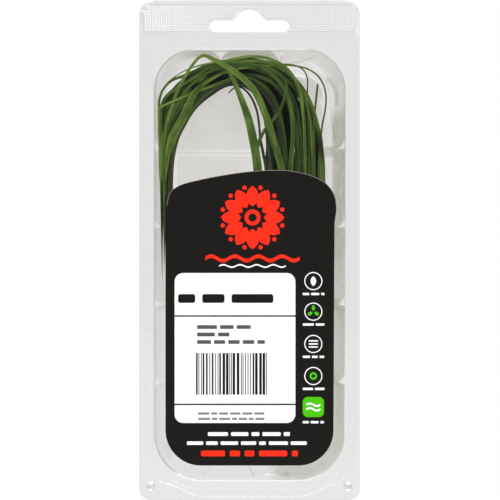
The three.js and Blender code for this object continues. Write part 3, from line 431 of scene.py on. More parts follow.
def slot_outline():
    radius = (SLOT_TOP - SLOT_BOTTOM) / 2
    z = SLOT_TOP - radius
    end_x = SLOT_HALF_LENGTH - radius
    shoulder_x, shoulder_z = HUMP_SHOULDER
    shares = np.linspace(0, 1, 13)
    hump = [(mix(-shoulder_x, shoulder_x, t), shoulder_z * (1 - 4 * t * (1 - t))) for t in shares]
    return [
        *quarter_turn(-end_x, z, radius, math.pi, 10),
        (-HUMP_HALF_WIDTH, SLOT_TOP),
        *hump,
        (HUMP_HALF_WIDTH, SLOT_TOP),
        *quarter_turn(end_x, z, radius, math.pi / 2, 10),
        *quarter_turn(end_x, z, radius, 0, 10),
        *quarter_turn(-end_x, z, radius, -math.pi / 2, 10),
    ]


def label_outline():
    corner_x = LABEL_HALF_WIDTH - LABEL_BOTTOM_CORNER
    corner_z = LABEL_BOTTOM + LABEL_BOTTOM_CORNER
    return [
        *through(LABEL_TOP_EDGE, 6),
        *quarter_turn(corner_x, corner_z, LABEL_BOTTOM_CORNER, 0),
        *quarter_turn(-corner_x, corner_z, LABEL_BOTTOM_CORNER, -math.pi / 2),
    ]


def distinct(outline):
    points = np.asarray(outline, float)
    return points[np.linalg.norm(np.roll(points, -1, axis=0) - points, axis=1) > 1e-6]


def inset(outline, distance):
    """A clockwise outline moved inwards along the normals of its edges."""
    points = distinct(outline)
    before = points - np.roll(points, 1, axis=0)
    after = np.roll(points, -1, axis=0) - points
    in_a = np.stack([before[:, 1], -before[:, 0]], 1) / np.linalg.norm(before, axis=1)[:, None]
    in_b = np.stack([after[:, 1], -after[:, 0]], 1) / np.linalg.norm(after, axis=1)[:, None]
    dot = (in_a * in_b).sum(1)[:, None]
    return points + (in_a + in_b) * distance / (1 + dot)


def inside(points, outlines):
    """Which points lie inside an odd number of the outlines."""
    crossings = np.zeros(len(points), int)
    x, z = points[:, 0:1], points[:, 1:2]
    for outline in outlines:
        a = np.asarray(outline)
        b = np.roll(a, -1, axis=0)
        spans = (a[:, 1] > z) != (b[:, 1] > z)
        rise = np.where(b[:, 1] == a[:, 1], 1, b[:, 1] - a[:, 1])
        crossings += (spans & (x < a[:, 0] + (z - a[:, 1]) * (b[:, 0] - a[:, 0]) / rise)).sum(1)
    return crossings % 2 == 1


def divide(outlines, inner=(), nearness=1e-6):
    """Triangles that have the outlines' edges among their own, with extra points."""
    points = []
    edges = []
    for outline in outlines:
        start = len(points)
        count = len(outline)
        points += [tuple(p) for p in outline]
        edges += [(start + i, start + (i + 1) % count) for i in range(count)]
    points += [tuple(p) for p in inner]
    made = delaunay_2d_cdt([Vector(p) for p in points], edges, [], 0, nearness, False)
    return np.array([tuple(v) for v in made[0]]), np.array([tuple(f) for f in made[2]])


def triangulate(outlines, inner=()):
    """Triangles between outlines, by even and odd, with extra points inside them."""
    places, faces = divide(outlines, inner)
    return places, faces[inside(places[faces].mean(1), outlines)]


# Sheets


# How a face of a sheet is shaded.
FLAT = 0
CURVED = 1
FACETED = 2

# Tones of the flange; of the knurls' studs, painted highlights brightest from the left end on, and of
# their valleys, darker as painted shade; of steps, cut edges and buttons; and of the tray's floor by
# height, darker towards the top as painted shade.
FLANGE_TONE = 0.05
STUD_BRIGHT_TONE = -1.6
STUD_TONE = -0.9
STUD_BRIGHT_LENGTH = 40
VALLEY_TONE = 0.45
STEP_TONE = 0.16
RIM_TONE = 0.5
BUTTON_TONE = 0.3
BUTTON_HIGHLIGHT_TONE = -1.2
FLOOR_TONES = [(-60.7, 0.42), (-51.4, 0.46), (-42, 0.56), (-33.7, 0.64)]

# How strong the painted highlight on the steps is along the lid's foot, on the platform and on the border,
# below which height, and beyond which X it is stronger yet.
PLATFORM_HIGHLIGHT = 0.6
BORDER_HIGHLIGHT = 0.35
STEP_HIGHLIGHT_TOP = -183
STEP_HIGHLIGHT_ENDS = 24
STEP_HIGHLIGHT_FADE = 6
STEP_HIGHLIGHT_GAIN = 1.4

# Painted highlights along a rib of the floor, as light lines: how far above the rib each runs, half its
# width and how light it is. They are faint beyond a reach.
RIB_LINES = [(0.4, 0.4, 1), (-1.5, 0.45, 0.35), (-3.1, 0.5, 0.2)]
RIB_LINE_EDGE = 1.4
RIB_LINE_X = -9
RIB_LINE_REACH = 17
RIB_LINE_FADE = 8
RIB_LINE_FAINT = 0.25


class Skin:
    """The faces of a formed sheet, patch by patch. Each corner has a tone: 0 where light passes
    straight through the sheet and 1 where it has to pass along it, and tones that carry painted shade
    besides; below 0 it is a painted highlight in white. Each face is flat, part of a curve or a facet of
    its own."""

    def __init__(self):
        self.points = []
        self.faces = []
        self.tones = []
        self.kinds = []

    def add(self, points, tones, faces, kind, turned=False):
        start = sum(len(p) for p in self.points)
        self.points.append(np.asarray(points, float))
        tones = np.broadcast_to(np.asarray(tones, float), (len(points),))
        for face in faces:
            face = [int(i) for i in face][:: -1 if turned else 1]
            self.faces.append([start + i for i in face])
            self.tones += [tones[i] for i in face]
        self.kinds += list(np.broadcast_to(kind, (len(faces),)))

    def bridge(self, loops, tones, turned=False, kind=CURVED):
        """Bands between closed loops of one length, from the outermost to the innermost."""
        count = len(loops[0])
        faces = []
        for ring in range(len(loops) - 1):
            outer = ring * count
            for i in range(count):
                j = (i + 1) % count
                faces.append((outer + count + i, outer + count + j, outer + j, outer + i))
        spread = np.concatenate([np.broadcast_to(tone, (count,)) for tone in tones])
        self.add(np.concatenate(loops), spread, faces, kind, turned)

    def fill(self, outlines, y, tone, turned=False):
        places, faces = triangulate(outlines)
        points = np.insert(places, 1, y, axis=1)
        self.add(points, tone, faces, FLAT, turned)

    def finish(self, name):
        obj = make_object(name, np.concatenate(self.points), self.faces)
        mesh = obj.data
        mesh.attributes.new("tone", "FLOAT", "CORNER").data.foreach_set("value", self.tones)
        mesh.attributes.new("kind", "INT", "FACE").data.foreach_set("value", self.kinds)
        face_outwards(mesh, 2e-6)
        set_sheet_normals(mesh)
        return obj


def read_all(items, name, kind=float, size=1):
    """A value or a vector of each item."""
    values = np.zeros(len(items) * size, kind)
    items.foreach_get(name, values)
    return values if size == 1 else values.reshape(-1, size)


def set_sheet_normals(mesh):
    """Smooth normals on the curves, which meet the flats in the flats' own direction."""
    vertex_of = read_all(mesh.loops, "vertex_index", int)
    sizes = read_all(mesh.polygons, "loop_total", int)
    face_of = np.repeat(np.arange(len(sizes)), sizes)
    kinds = read_all(mesh.attributes["kind"].data, "value", int)[face_of]
    normals = read_all(mesh.polygons, "normal", size=3)
    areas = read_all(mesh.polygons, "area")
    weighted = (normals * areas[:, None])[face_of]
    sums = np.zeros((2, len(mesh.vertices), 3))
    for kind in (FLAT, CURVED):
        np.add.at(sums[kind], vertex_of, weighted * (kinds == kind)[:, None])
    touches_flat = np.abs(sums[FLAT]).sum(1) > 0
    smooth_sum = np.where(touches_flat[:, None], sums[FLAT], sums[CURVED])
    smooth_sum /= np.maximum(np.linalg.norm(smooth_sum, axis=1), 1e-12)[:, None]
    curved = (kinds == CURVED)[:, None]
    mesh.polygons.foreach_set("use_smooth", [True] * len(sizes))
    mesh.normals_split_custom_set(np.where(curved, smooth_sum[vertex_of], normals[face_of]).tolist())


def at_depth(outline, y):
    return np.insert(np.asarray(outline, float), 1, y, axis=1)


def add_step(skin, outline, run, y_from, y_to, turned=False, painted_highlight=0):
    """A soft step inside an outline, from one depth to the next, with a painted highlight along the pack's
    foot.
    """
    shares = np.linspace(0, 1, 5)
    loops = [at_depth(inset(outline, run * t), mix(y_from, y_to, smooth(t))) for t in shares]
    foot = smooth((STEP_HIGHLIGHT_TOP - loops[0][:, 2]) / STEP_HIGHLIGHT_FADE)
    ends = smooth((np.abs(loops[0][:, 0]) - STEP_HIGHLIGHT_ENDS) / STEP_HIGHLIGHT_FADE)
    white = -painted_highlight * mix(1, STEP_HIGHLIGHT_GAIN, ends)
    crest = mix(STEP_TONE, white, foot * (painted_highlight > 0))
    skin.bridge(loops, [FLANGE_TONE, crest, crest, crest, FLANGE_TONE], turned)
    return loops[-1][:, [0, 2]]


# Buttons from the foot to the flat top, as radius and depth: the tray's studs and the lid's hollow
# bumps, each on its front face and on its back.
STUD_FRONT = [(1.5, TRAY_FRONT), (1.15, TRAY_FRONT - 0.08), (1, TRAY_FRONT - 0.4), (1, -1),
              (0.85, -1.3), (0.5, -1.4)]
STUD_BACK = [(0.95, TRAY_BACK), (0.7, TRAY_BACK - 0.1), (0.55, -0.2), (0.5, -0.7), (0.3, -0.85)]
BUMP_FRONT = [(2.2, LID_FRONT), (1.9, LID_FRONT - 0.08), (1.8, LID_FRONT - 0.35), (1.75, -1.7),
              (1.55, -2.05), (1.1, -2.2), (0.6, -2.2)]
BUMP_BACK = [(1.6, LID_BACK), (1.4, LID_BACK - 0.08), (1.3, LID_BACK - 0.35), (1.28, -1.4),
             (1.1, -1.62), (0.8, -1.7), (0.4, -1.7)]

# Painted highlights as white spots above and below a button's middle: how upright from it they lie, and
# between which radii.
SPOT_UPRIGHT = 0.75
SPOT_FADE = 0.2
SPOT_RADII = (0.8, 1.85)


def button_loops(x, rings):
    turns = np.linspace(0, -2 * math.pi, 25)[:-1]
    return [np.array([(x + r * math.cos(a), y, BUTTON_Z + r * math.sin(a)) for a in turns])
            for r, y in rings]


def button_tones(loop, x):
    """A button's skin, with its painted highlights as white spots."""
    radius = np.hypot(loop[:, 0] - x, loop[:, 2] - BUTTON_Z)
    upright = np.abs(loop[:, 2] - BUTTON_Z) / np.maximum(radius, 0.01)
    near, far = SPOT_RADII
    spot = smooth((upright - SPOT_UPRIGHT) / SPOT_FADE) * (radius > near) * (radius < far)
    return mix(BUTTON_TONE, BUTTON_HIGHLIGHT_TONE, spot)


def add_buttons(skin, rings, turned):
    feet = []
    for x in (-BUTTON_X, BUTTON_X):
        loops = button_loops(x, rings)
        skin.bridge(loops, [button_tones(loop, x) for loop in loops], turned)
        skin.add(loops[-1], BUTTON_TONE, [range(len(loops[-1]))], FLAT, turned)
        feet.append(loops[0][:, [0, 2]])
    return feet


# The tray's inner face from its mouth to its floor: how far inwards and how deep it lies, how high
# ribs and flutes stand there, half their width at crest and foot, and the strength of the tone.
TRAY_PROFILE = np.array([
    (0, -0.95, 0, 0, 0.4, 3, 0.9),
    (0.1, -0.6, 0.15, 0.1, 0.4, 2.9, 1),
    (0.6, 2, 0.6, 0.5, 0.45, 2.6, 1),
    (3.2, 12.8, 1.2, 1.1, 0.7, 1.8, 1),
    (4.7, 16.4, 1.2, 0.5, 0.8, 1.6, 0.3),
    (7.6, TRAY_DEPTH, 1.2, 0, 0.8, 1.6, 0.5),
])
SPAN_STEPS = 5

# The tray's lip over its mouth, on the front face and on the back: how far inwards and how far behind
# the last flat it lies, and its tone. The back's wall starts below its own lip.
LIP_FRONT = [(-0.3, 0, 0.6), (-0.1, 0.08, 0.8)]
LIP_BACK = [(-0.3, 0, 0.1), (-0.08, 0.07, 0.3), (0, 0.3, 0.3)]
BACK_WALL_TOP = TRAY_BACK - STEP_HEIGHT + 0.5

# Steps and margins of the grid on the tray's floor.
FLOOR_STEP = 6
FLOOR_RIB_STEP = 0.24
FLOOR_RIB_REACH = 3.6
FLOOR_END = 0.7
FLOOR_ROOM = 0.8

# Stands for the distance to a rib or a flute where none is near.
FAR = 99


def tray_rings():
    """The profile in fine steps, with the lean of the wall at each and, last, the share of the wall's
    tone that it has there."""
    shares = np.linspace(0, 1, SPAN_STEPS * (len(TRAY_PROFILE) - 1) + 1)
    route = CatmullRom(TRAY_PROFILE[:, :2])
    rows = []
    for share in shares:
        inward, depth = route.point(share)
        along, down = route.direction(share)
        place = share * (len(TRAY_PROFILE) - 1)
        span = min(int(place), len(TRAY_PROFILE) - 2)
        rest = mix(TRAY_PROFILE[span, 2:], TRAY_PROFILE[span + 1, 2:], place - span)
        rows.append((inward, depth, math.atan2(along, down), *rest))
    rows[-1] = (*rows[-1][:2], math.pi / 2, *rows[-1][3:])
    return rows


def dense(start, end, centres, coarse=3, fine=0.33, reach=3.3):
    """Stations from start to end, in fine steps within reach of the centres and coarse ones elsewhere."""
    stations = set(np.linspace(start, end, max(2, int(abs(end - start) / coarse))).tolist())
    for centre in centres:
        stations |= set((centre + np.arange(-reach, reach + fine / 2, fine)).tolist())
    low, high = sorted((start, end))
    kept = sorted(s for s in stations if low <= s <= high)
    thinned = [kept[0]]
    for s in kept[1:]:
        if s - thinned[-1] > fine * 0.6:
            thinned.append(s)
    thinned[-1] = kept[-1]
    return thinned if end > start else thinned[::-1]


def mouth_corner(x, z, radius, start):
    """Places round a corner of the mouth, without its two ends."""
    return [(px, pz, (x - px) / radius, (z - pz) / radius, FAR, FAR)
            for px, pz in quarter_turn(x, z, radius, start)[1:-1]]


def mouth_places():
    """Places round the cavity's mouth, clockwise from its top centre: x, z, the inward direction, and
    the distance to the nearest rib and flute."""
    top_x = CAVITY_HALF_WIDTH - CAVITY_TOP_CORNER
    bottom_x = CAVITY_HALF_WIDTH - CAVITY_BOTTOM_CORNER
    top_z = CAVITY_TOP - CAVITY_TOP_CORNER
    bottom_z = CAVITY_BOTTOM + CAVITY_BOTTOM_CORNER
    right = np.array([
        *((x, CAVITY_TOP, 0, -1, FAR, x - FLUTE_OFFSET) for x in dense(0, top_x, [FLUTE_OFFSET])),
        *mouth_corner(top_x, top_z, CAVITY_TOP_CORNER, math.pi / 2),
        *((CAVITY_HALF_WIDTH, z, -1, 0, min((z - r for r in RIB_HEIGHTS), key=abs), FAR)
          for z in dense(top_z, bottom_z, RIB_HEIGHTS)),
        *mouth_corner(bottom_x, bottom_z, CAVITY_BOTTOM_CORNER, 0),
        *((x, CAVITY_BOTTOM, 0, 1, FAR, FAR) for x in dense(bottom_x, 0, [], coarse=4)),
    ])
    left = right[1:-1][::-1] * np.array([-1, 1, -1, 1, 1, 1])
    return np.concatenate([right, left])


def pressing(distance, crest_half, foot_half):
    return smooth((foot_half - np.abs(distance)) / (foot_half - crest_half))


# How dark the wall is by the way it faces, in degrees from a wall that faces right: the light comes
# from above on the right.
WALL_FACINGS = [0, 45, 90, 135, 180, 205, 225, 245, 270, 285, 300, 335, 360]
WALL_TONES = [0.3, 0.12, 0.15, 0.7, 0.7, 0.45, 0.35, 0.4, 0.93, 0.78, 0.45, 0.3, 0.3]

# The long walls' painted shade by height, and the share of a direction that makes a wall a long one or an
# end.
RIGHT_WALL = [(-168, 0.65), (-160, 0.8), (-150, 0.85), (-145, 0.75), (-132, 0.7), (-120, 0.8),
              (-113, 0.62), (-104, 0.75), (-92, 0.93), (-83, 1.05), (-44, 1.03), (-41, 0.8),
              (-37, 0.45), (-32, 0.4)]
LEFT_WALL = [(-172, 0.1), (-165, 0.02), (-140, 0.1), (-124, 0.15), (-117, 0.38), (-100, 0.4),
             (-60, 0.42), (-30, 0.3)]
LONG_FACING = 0.95
LONG_FADE = 0.04
END_FACING = 0.6

# Painted shade on the ends right of an X, and the painted shade low on the top end.
RIGHT_OF_BOTTOM = 11
RIGHT_OF_TOP = 13
BOTTOM_RIGHT_TONE = 0.7
TOP_RIGHT_TONE = 0.4
TOP_SHADE_DEPTH = 6
TOP_SHADE_FADE = 3
TOP_DEEP_TONE = 0.35

# A rib has a painted highlight on its upper side and, on a dark wall, painted shade darker yet below its
# crest.
PRESSED_LIGHT = 0.05
PRESSED_DARK = 1.05
RIB_CREST = -0.3
DARK_WALL = 0.5

# Half the width of the painted highlight wedges on flutes and ribs, at the mouth and where they end.
WEDGE_HALF_WIDTH = 3.5
WEDGE_DEPTH = 4.5
WEDGE_EDGE = 0.5
WEDGE_END = -0.2
FLUTE_WEDGE_DEPTH = 6.5
FLUTE_WEDGE_TOP = 0.5
FLUTE_LIGHT = 0.12

# The shade on a rib behind its light wedge: half its width, the depth it starts at and its tone.
RIB_SHADE_HALF_WIDTH = 2.6
RIB_SHADE_EDGE = 1.2
RIB_SHADE_DEPTH = 3.5
RIB_SHADE_FADE = 2
RIB_SHADE_TONE = 0.95


def wall_shade_tones(places, depth):
    """The tone of the wall at each place of a ring, its painted shade, without its pressings."""
    x, z, inward_x, inward_z = places[:, :4].T
    facing = np.degrees(np.arctan2(inward_z, inward_x)) % 360
    tones = np.interp(facing, WALL_FACINGS, WALL_TONES)
    for wall, side in ((RIGHT_WALL, -1), (LEFT_WALL, 1)):
        own = np.interp(z, *np.transpose(wall))
        tones = mix(tones, own, smooth((side * inward_x - LONG_FACING) / LONG_FADE))
    tones = np.where((inward_z > END_FACING) & (x > RIGHT_OF_BOTTOM), BOTTOM_RIGHT_TONE, tones)
    tones = np.where((inward_z < -END_FACING) & (x > RIGHT_OF_TOP), TOP_RIGHT_TONE, tones)
    deep = smooth((depth - TOP_SHADE_DEPTH) / TOP_SHADE_FADE) * (inward_z < -END_FACING)
    return mix(tones, np.minimum(tones, TOP_DEEP_TONE), deep)


def light_wedge(distance, depth, full_depth):
    """How far places at a distance from a pressing lie in its painted highlight wedge."""
    half = WEDGE_HALF_WIDTH * np.clip(1 - depth / full_depth, WEDGE_END, 1)
    return smooth((half + WEDGE_EDGE - np.abs(distance)) / WEDGE_EDGE)


def wall_tones(places, ring):
    """The tone at each place of a ring: its wall's painted shade, with painted highlights on the
    pressings' upper sides and painted shade below the ribs.
    """
    depth, strength = ring[1], ring[-1]
    from_rib, from_flute = places[:, 4], places[:, 5]
    tones = wall_shade_tones(places, depth)
    on_rib = light_wedge(from_rib, depth, WEDGE_DEPTH)
    on_flute = light_wedge(from_flute, depth, FLUTE_WEDGE_DEPTH) * smooth(depth / FLUTE_WEDGE_TOP)
    under_rib = mix(tones, PRESSED_DARK, tones > DARK_WALL)
    tones = mix(tones, np.where(from_rib > RIB_CREST, PRESSED_LIGHT, under_rib), on_rib)
    tones = mix(tones, FLUTE_LIGHT, on_flute)
    shade = smooth((RIB_SHADE_HALF_WIDTH - np.abs(from_rib)) / RIB_SHADE_EDGE)
    shade = shade * smooth((depth - RIB_SHADE_DEPTH) / RIB_SHADE_FADE)
    return mix(tones * strength, RIB_SHADE_TONE, shade * (tones > DARK_WALL) * (1 - on_rib))


def tray_loop(places, ring, grow):
    inward, depth, lean, rib, flute, crest_half, foot_half, _ = ring
    pressed = rib * pressing(places[:, 4], crest_half, foot_half)
    pressed = pressed + flute * pressing(places[:, 5], crest_half, foot_half)
    move = pressed - grow
    inwards = inward + move * math.cos(lean)
    x = CAVITY_CENTRE_X + places[:, 0] + inwards * places[:, 2]
    z = places[:, 1] + inwards * places[:, 3]
    return np.stack([x, depth - move * math.sin(lean), z], 1)


def floor_y(z, grow):
    """The depth of the tray's floor with its cross ribs."""
    crest_half, foot_half = TRAY_PROFILE[-1, 4:6]
    nearest = np.min([np.abs(z - r) for r in RIB_HEIGHTS], axis=0)
    return TRAY_DEPTH + grow - TRAY_PROFILE[-1, 2] * pressing(nearest, crest_half, foot_half)


def floor_grid(outline):
    """Points inside the floor's outline, close together across its ribs."""
    left, low = outline.min(0)
    right, high = outline.max(0)
    stations_z = dense(low + FLOOR_END, high - FLOOR_END, RIB_HEIGHTS, FLOOR_STEP, FLOOR_RIB_STEP,
                       FLOOR_RIB_REACH)
    stations_x = np.arange(left, right, FLOOR_STEP)
    grid = np.array([(x, z) for z in stations_z for x in stations_x])
    return grid[inside(grid, [inset(outline, FLOOR_ROOM)])]


def add_tray_floor(skin, edge, grow, turned):
    outline = edge[:, [0, 2]]
    places, faces = triangulate([outline], floor_grid(outline))
    x, z = places.T
    # Painted highlights along the ribs, over the floor's tones by height, which are painted shade.
    lines = sum(light * smooth(RIB_LINE_EDGE - np.abs(z - rib - offset) / half)
                for rib in RIB_HEIGHTS for offset, half, light in RIB_LINES)
    near = smooth((RIB_LINE_REACH - np.abs(x - RIB_LINE_X)) / RIB_LINE_FADE)
    base = np.interp(z, *np.transpose(FLOOR_TONES))
    points = np.insert(places, 1, floor_y(z, grow), axis=1)
    skin.add(points, mix(base, 0, lines * mix(RIB_LINE_FAINT, 1, near)), faces, CURVED, turned)


def add_cavity(skin, edge, level, lip, rings, grow, turned):
    """The tray's cavity, from the flat round its mouth to its floor."""
    places = mouth_places()
    plain = (0, 0, 0, *TRAY_PROFILE[0, 4:6], 0)
    lip_rings = [(inward, level + drop, *plain) for inward, drop, _ in lip]
    loops = [tray_loop(places, ring, grow) for ring in lip_rings + rings]
    tones = [tone for _, _, tone in lip] + [wall_tones(places, ring) for ring in rings]
    skin.fill([edge, loops[0][:, [0, 2]]], level, FLANGE_TONE, turned)
    skin.bridge(loops, tones, turned)
    add_tray_floor(skin, loops[-1], grow, turned)


def add_tray_face(skin, top, runs, stud, lip, rings, grow):
    """One face of the tray, from its flange over its steps into the cavity. grow is how far it stands
    off the front face."""
    turned = grow > 0
    shift = SHEET + SHEET_GAP + grow
    levels = [top - STEP_HEIGHT * k for k in range(len(runs) + 1)]
    outer = distinct(pack_outline(FOLD_Z))
    slot = distinct(slot_outline())
    bounds = [outer, slot]
    feet = add_buttons(skin, stud, turned)
    steps = [inset(platform_outline(), shift), inset(border_outline(), shift)]
    for step, run, upper, lower in zip(steps, runs, levels, levels[1:]):
        skin.fill([*bounds, step, *feet], upper, FLANGE_TONE, turned)
        bounds = [add_step(skin, step, run, upper, lower, turned)]
        feet = []
    add_cavity(skin, bounds[0], levels[-1], lip, rings, grow, turned)
    return outer, slot


def add_rims(skin, outer, slot, front_y, back_y):
    """The cut edges of a sheet, round its outside and round the slot."""
    tones = [RIM_TONE, RIM_TONE]
    skin.bridge([at_depth(outer, back_y), at_depth(outer, front_y)], tones, kind=FACETED)
    skin.bridge([at_depth(slot, back_y), at_depth(slot, front_y)], tones, True, FACETED)


def make_tray(material):
    skin = Skin()
    rings = tray_rings()
    outer, slot = add_tray_face(skin, TRAY_FRONT, TRAY_STEP_RUNS, STUD_FRONT, LIP_FRONT, rings, 0)
    back_rings = [ring for ring in rings if ring[1] > BACK_WALL_TOP]
    add_tray_face(skin, TRAY_BACK, TRAY_STEP_RUNS[:1], STUD_BACK, LIP_BACK, back_rings, SHEET)
    add_rims(skin, outer, slot, TRAY_FRONT, TRAY_BACK)
    tray = skin.finish("tray_sheet")
    tray.data.materials.append(material)
    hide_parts("tray")
    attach(tray, "back_half")


def knurl_points():
    """The grid of the knurled band, two steps to a pitch, clear of the slot and the edge."""
    half = KNURL_PITCH / 2
    columns = int((KNURL_RIGHT - KNURL_LEFT) / half)
    rows = int((KNURL_TOP - KNURL_BOTTOM) / half)
    band = rounded_rect((KNURL_LEFT + KNURL_RIGHT) / 2, (KNURL_RIGHT - KNURL_LEFT) / 2,
                        KNURL_TOP + KNURL_MARGIN, KNURL_BOTTOM - KNURL_MARGIN,
                        KNURL_CORNER, KNURL_LOWER_CORNER)
    slot = inset(slot_outline(), -KNURL_SLOT_ROOM)
    edge = inset(pack_outline(LID_TOP), KNURL_EDGE_ROOM)
    grid = [(KNURL_LEFT + half * i, KNURL_BOTTOM + half * j, i % 2 and j % 2)
            for i in range(columns + 1) for j in range(rows + 1)]
    grid = np.array(grid, float)
    keep = inside(grid[:, :2], [band]) & ~inside(grid[:, :2], [slot]) & inside(grid[:, :2], [edge])
    return grid[keep]


def add_lid_flange(skin, outlines, y):
    """The lid's flange with the knurled band, whose studs are painted highlights, brightest at its left
    end.
    """
    grid = knurl_points()
    places, faces = triangulate(outlines, grid[:, :2])
    kinds = {(round(x, 3), round(z, 3)): stud for x, z, stud in grid}
    found = np.array([kinds.get((round(x, 3), round(z, 3)), -1) for x, z in places])
    raised = found == 1
    along = smooth((places[:, 0] - KNURL_LEFT) / STUD_BRIGHT_LENGTH)
    tones = np.where(found == 0, VALLEY_TONE, FLANGE_TONE)
    tones = np.where(raised, mix(STUD_BRIGHT_TONE, STUD_TONE, along), tones)
    points = np.insert(places, 1, y - KNURL_HEIGHT * raised, axis=1)
    skin.add(points, tones, faces, np.where(raised[faces].any(1), FACETED, FLAT))


# The lid's dome from its foot to its panel, as insets from the cavity's mouth and depths, on the
# front face and on the hollow side.
DOME_FRONT = [(-0.7, -2.05), (-0.6, -2.05), (-0.15, -2.12), (-0.04, -2.25), (0, -2.5), (0.02, -2.9),
              (0.16, -3.35), (0.44, -3.7), (0.9, -4.02), (1.35, -4.15), (1.8, -4.2)]
DOME_BACK = [(0.2, -1.55), (0.4, -1.6), (0.48, -1.75), (0.5, -2.05), (0.52, -2.4), (0.65, -2.9),
             (0.9, -3.25), (1.25, -3.5), (1.55, -3.65), (1.8, -3.7)]
# The dark line of painted shade round the dome, and the painted highlights along its top and its bottom:
# how strong each is on each loop, and its tone. The highlights lie within a band of heights and between
# two X, left and right.
DOME_LINE_FADES = [0, 0.1, 1, 1, 1, 1, 0.8, 0.3, 0, 0, 0]
DOME_TOP_FADES = [0, 0, 0.5, 0.4, 0.2, 0, 0, 0, 0, 0, 0]
DOME_BOTTOM_FADES = [0, 0.2, 1, 1, 1, 1, 0.8, 0.2, 0, 0, 0]
DOME_LINE_TONE = 2.1
DOME_TOP_TONE = -1.2
DOME_BOTTOM_TONE = -1.3
DOME_TOP_BAND = CAVITY_TOP - 3
DOME_BOTTOM_BAND = CAVITY_BOTTOM + 9
HIGHLIGHT_TOP_ENDS = (-26, 25)
HIGHLIGHT_BOTTOM_ENDS = (-31, 30)
HIGHLIGHT_FADE = 3

# How strong the dark line of painted shade round the dome is on the left and on the right, by height;
# below
# 0 it is a painted highlight.
DOME_LEFT_LINE = [(-180, 0.7), (-172, 0.4), (-164, 0.1), (-118, 0.1), (-106, 0.6), (-98, 1),
                  (-40, 1), (-30, 0.6)]
DOME_RIGHT_LINE = [(-174, 0), (-164, -0.5), (-104, -0.6), (-92, -0.15), (-60, 0.1), (-38, 0.5)]

# Painted reflections on the lid's panel, as streaks, light below a tone of 0 and dark above it: the tone
# of each, half its width, and X and Z along it.
PANEL_REFLECTIONS = [
    (0.75, 0.55, [(13.7, -22.9), (19.6, -21.8), (22.8, -20.8), (26.4, -19.8)]),
    (-0.2, 0.7, [(21.2, -22.0), (24.4, -22.3), (27.2, -24.1), (29.5, -26.9)]),
    (0.75, 0.4, [(19.6, -23.3), (24.0, -24.5), (27.0, -26.5), (29.5, -28.5), (30.9, -30.9),
                 (31.7, -33.8), (31.9, -37.2), (32.2, -40.8), (32.7, -44.7), (33.4, -49.5),
                 (33.7, -53.1)]),
    (-0.12, 0.55, [(30.9, -28.7), (32.4, -30.9), (33.0, -33.6), (33.1, -37.2), (33.3, -41.6),
                 (33.9, -47.1)]),
    (0.95, 1.1, [(30.2, -28.1), (32.3, -29.9), (33.9, -32.5), (34.5, -35.8), (34.6, -39.6)]),
    (-0.55, 0.5, [(17.6, -26.9), (20.0, -27.3), (22.6, -28.6)]),
    (-0.4, 0.5, [(27.9, -35.6), (28.5, -38.0), (28.7, -40.0)]),
    (0.3, 1.3, [(-32.9, -171.6), (-32.3, -175.6), (-30.7, -179.5)]),
    (0.3, 1.2, [(-18.4, -183.1), (-17.2, -186.3)]),
    (0.8, 0.4, [(-0.2, -181.9), (1.0, -184.5), (2.8, -186.5)]),
    (0.7, 0.4, [(-12.1, -185.3), (-9.7, -186.5)]),
    (-0.5, 0.5, [(5.0, -186.1), (7.3, -185.1), (9.3, -185.7), (12.5, -186.3)]),
    (0.9, 1.1, [(13.3, -184.3), (16.1, -186.1)]),
    (0.6, 0.7, [(10.1, -183.1), (12.5, -185.9)]),
]
REFLECTION_STEP = 0.35
REFLECTION_OFFSETS = (-1.3, -0.65, 0, 0.65, 1.3)
REFLECTION_EDGE = 1.25
REFLECTION_END_POINTS = 3
PANEL_ROOM = 0.3


def dome_loops(profile):
    mouth = rounded_rect(CAVITY_CENTRE_X, CAVITY_HALF_WIDTH, CAVITY_TOP, CAVITY_BOTTOM,
                         CAVITY_TOP_CORNER, CAVITY_BOTTOM_CORNER)
    return [at_depth(inset(mouth, inward), y) for inward, y in profile]


def straight_part(x, in_band, ends):
    """How far inside the straight top or bottom of the dome a point lies."""
    left, right = ends
    return smooth(np.minimum(x - left, right - x) / HIGHLIGHT_FADE) * in_band


def dome_tones(foot):
    """A dark line of painted shade round the dome's foot, with painted highlights in its place along the
    top and the bottom.
    """
    x, z = foot[:, 0], foot[:, 2]
    top = straight_part(x, z > DOME_TOP_BAND, HIGHLIGHT_TOP_ENDS)
    bottom = straight_part(x, z < DOME_BOTTOM_BAND, HIGHLIGHT_BOTTOM_ENDS)
    left_line = np.interp(z, *np.transpose(DOME_LEFT_LINE))
    right_line = np.interp(z, *np.transpose(DOME_RIGHT_LINE))
    line = DOME_LINE_TONE * np.where(x < 0, left_line, right_line) * (1 - top) * (1 - bottom)
    parts = (line, DOME_TOP_TONE * top, DOME_BOTTOM_TONE * bottom)
    return [FLANGE_TONE + sum(part * fade for part, fade in zip(parts, fades))
            for fades in zip(DOME_LINE_FADES, DOME_TOP_FADES, DOME_BOTTOM_FADES)]


def reflection_route(stations):
    """Points close together along a painted reflection."""
    length = np.hypot(*np.diff(np.array(stations), axis=0).T).sum()
    curve = CatmullRom(stations)
    return np.array([curve.point(share) for share in np.linspace(0, 1, max(4, int(length / REFLECTION_STEP)))])


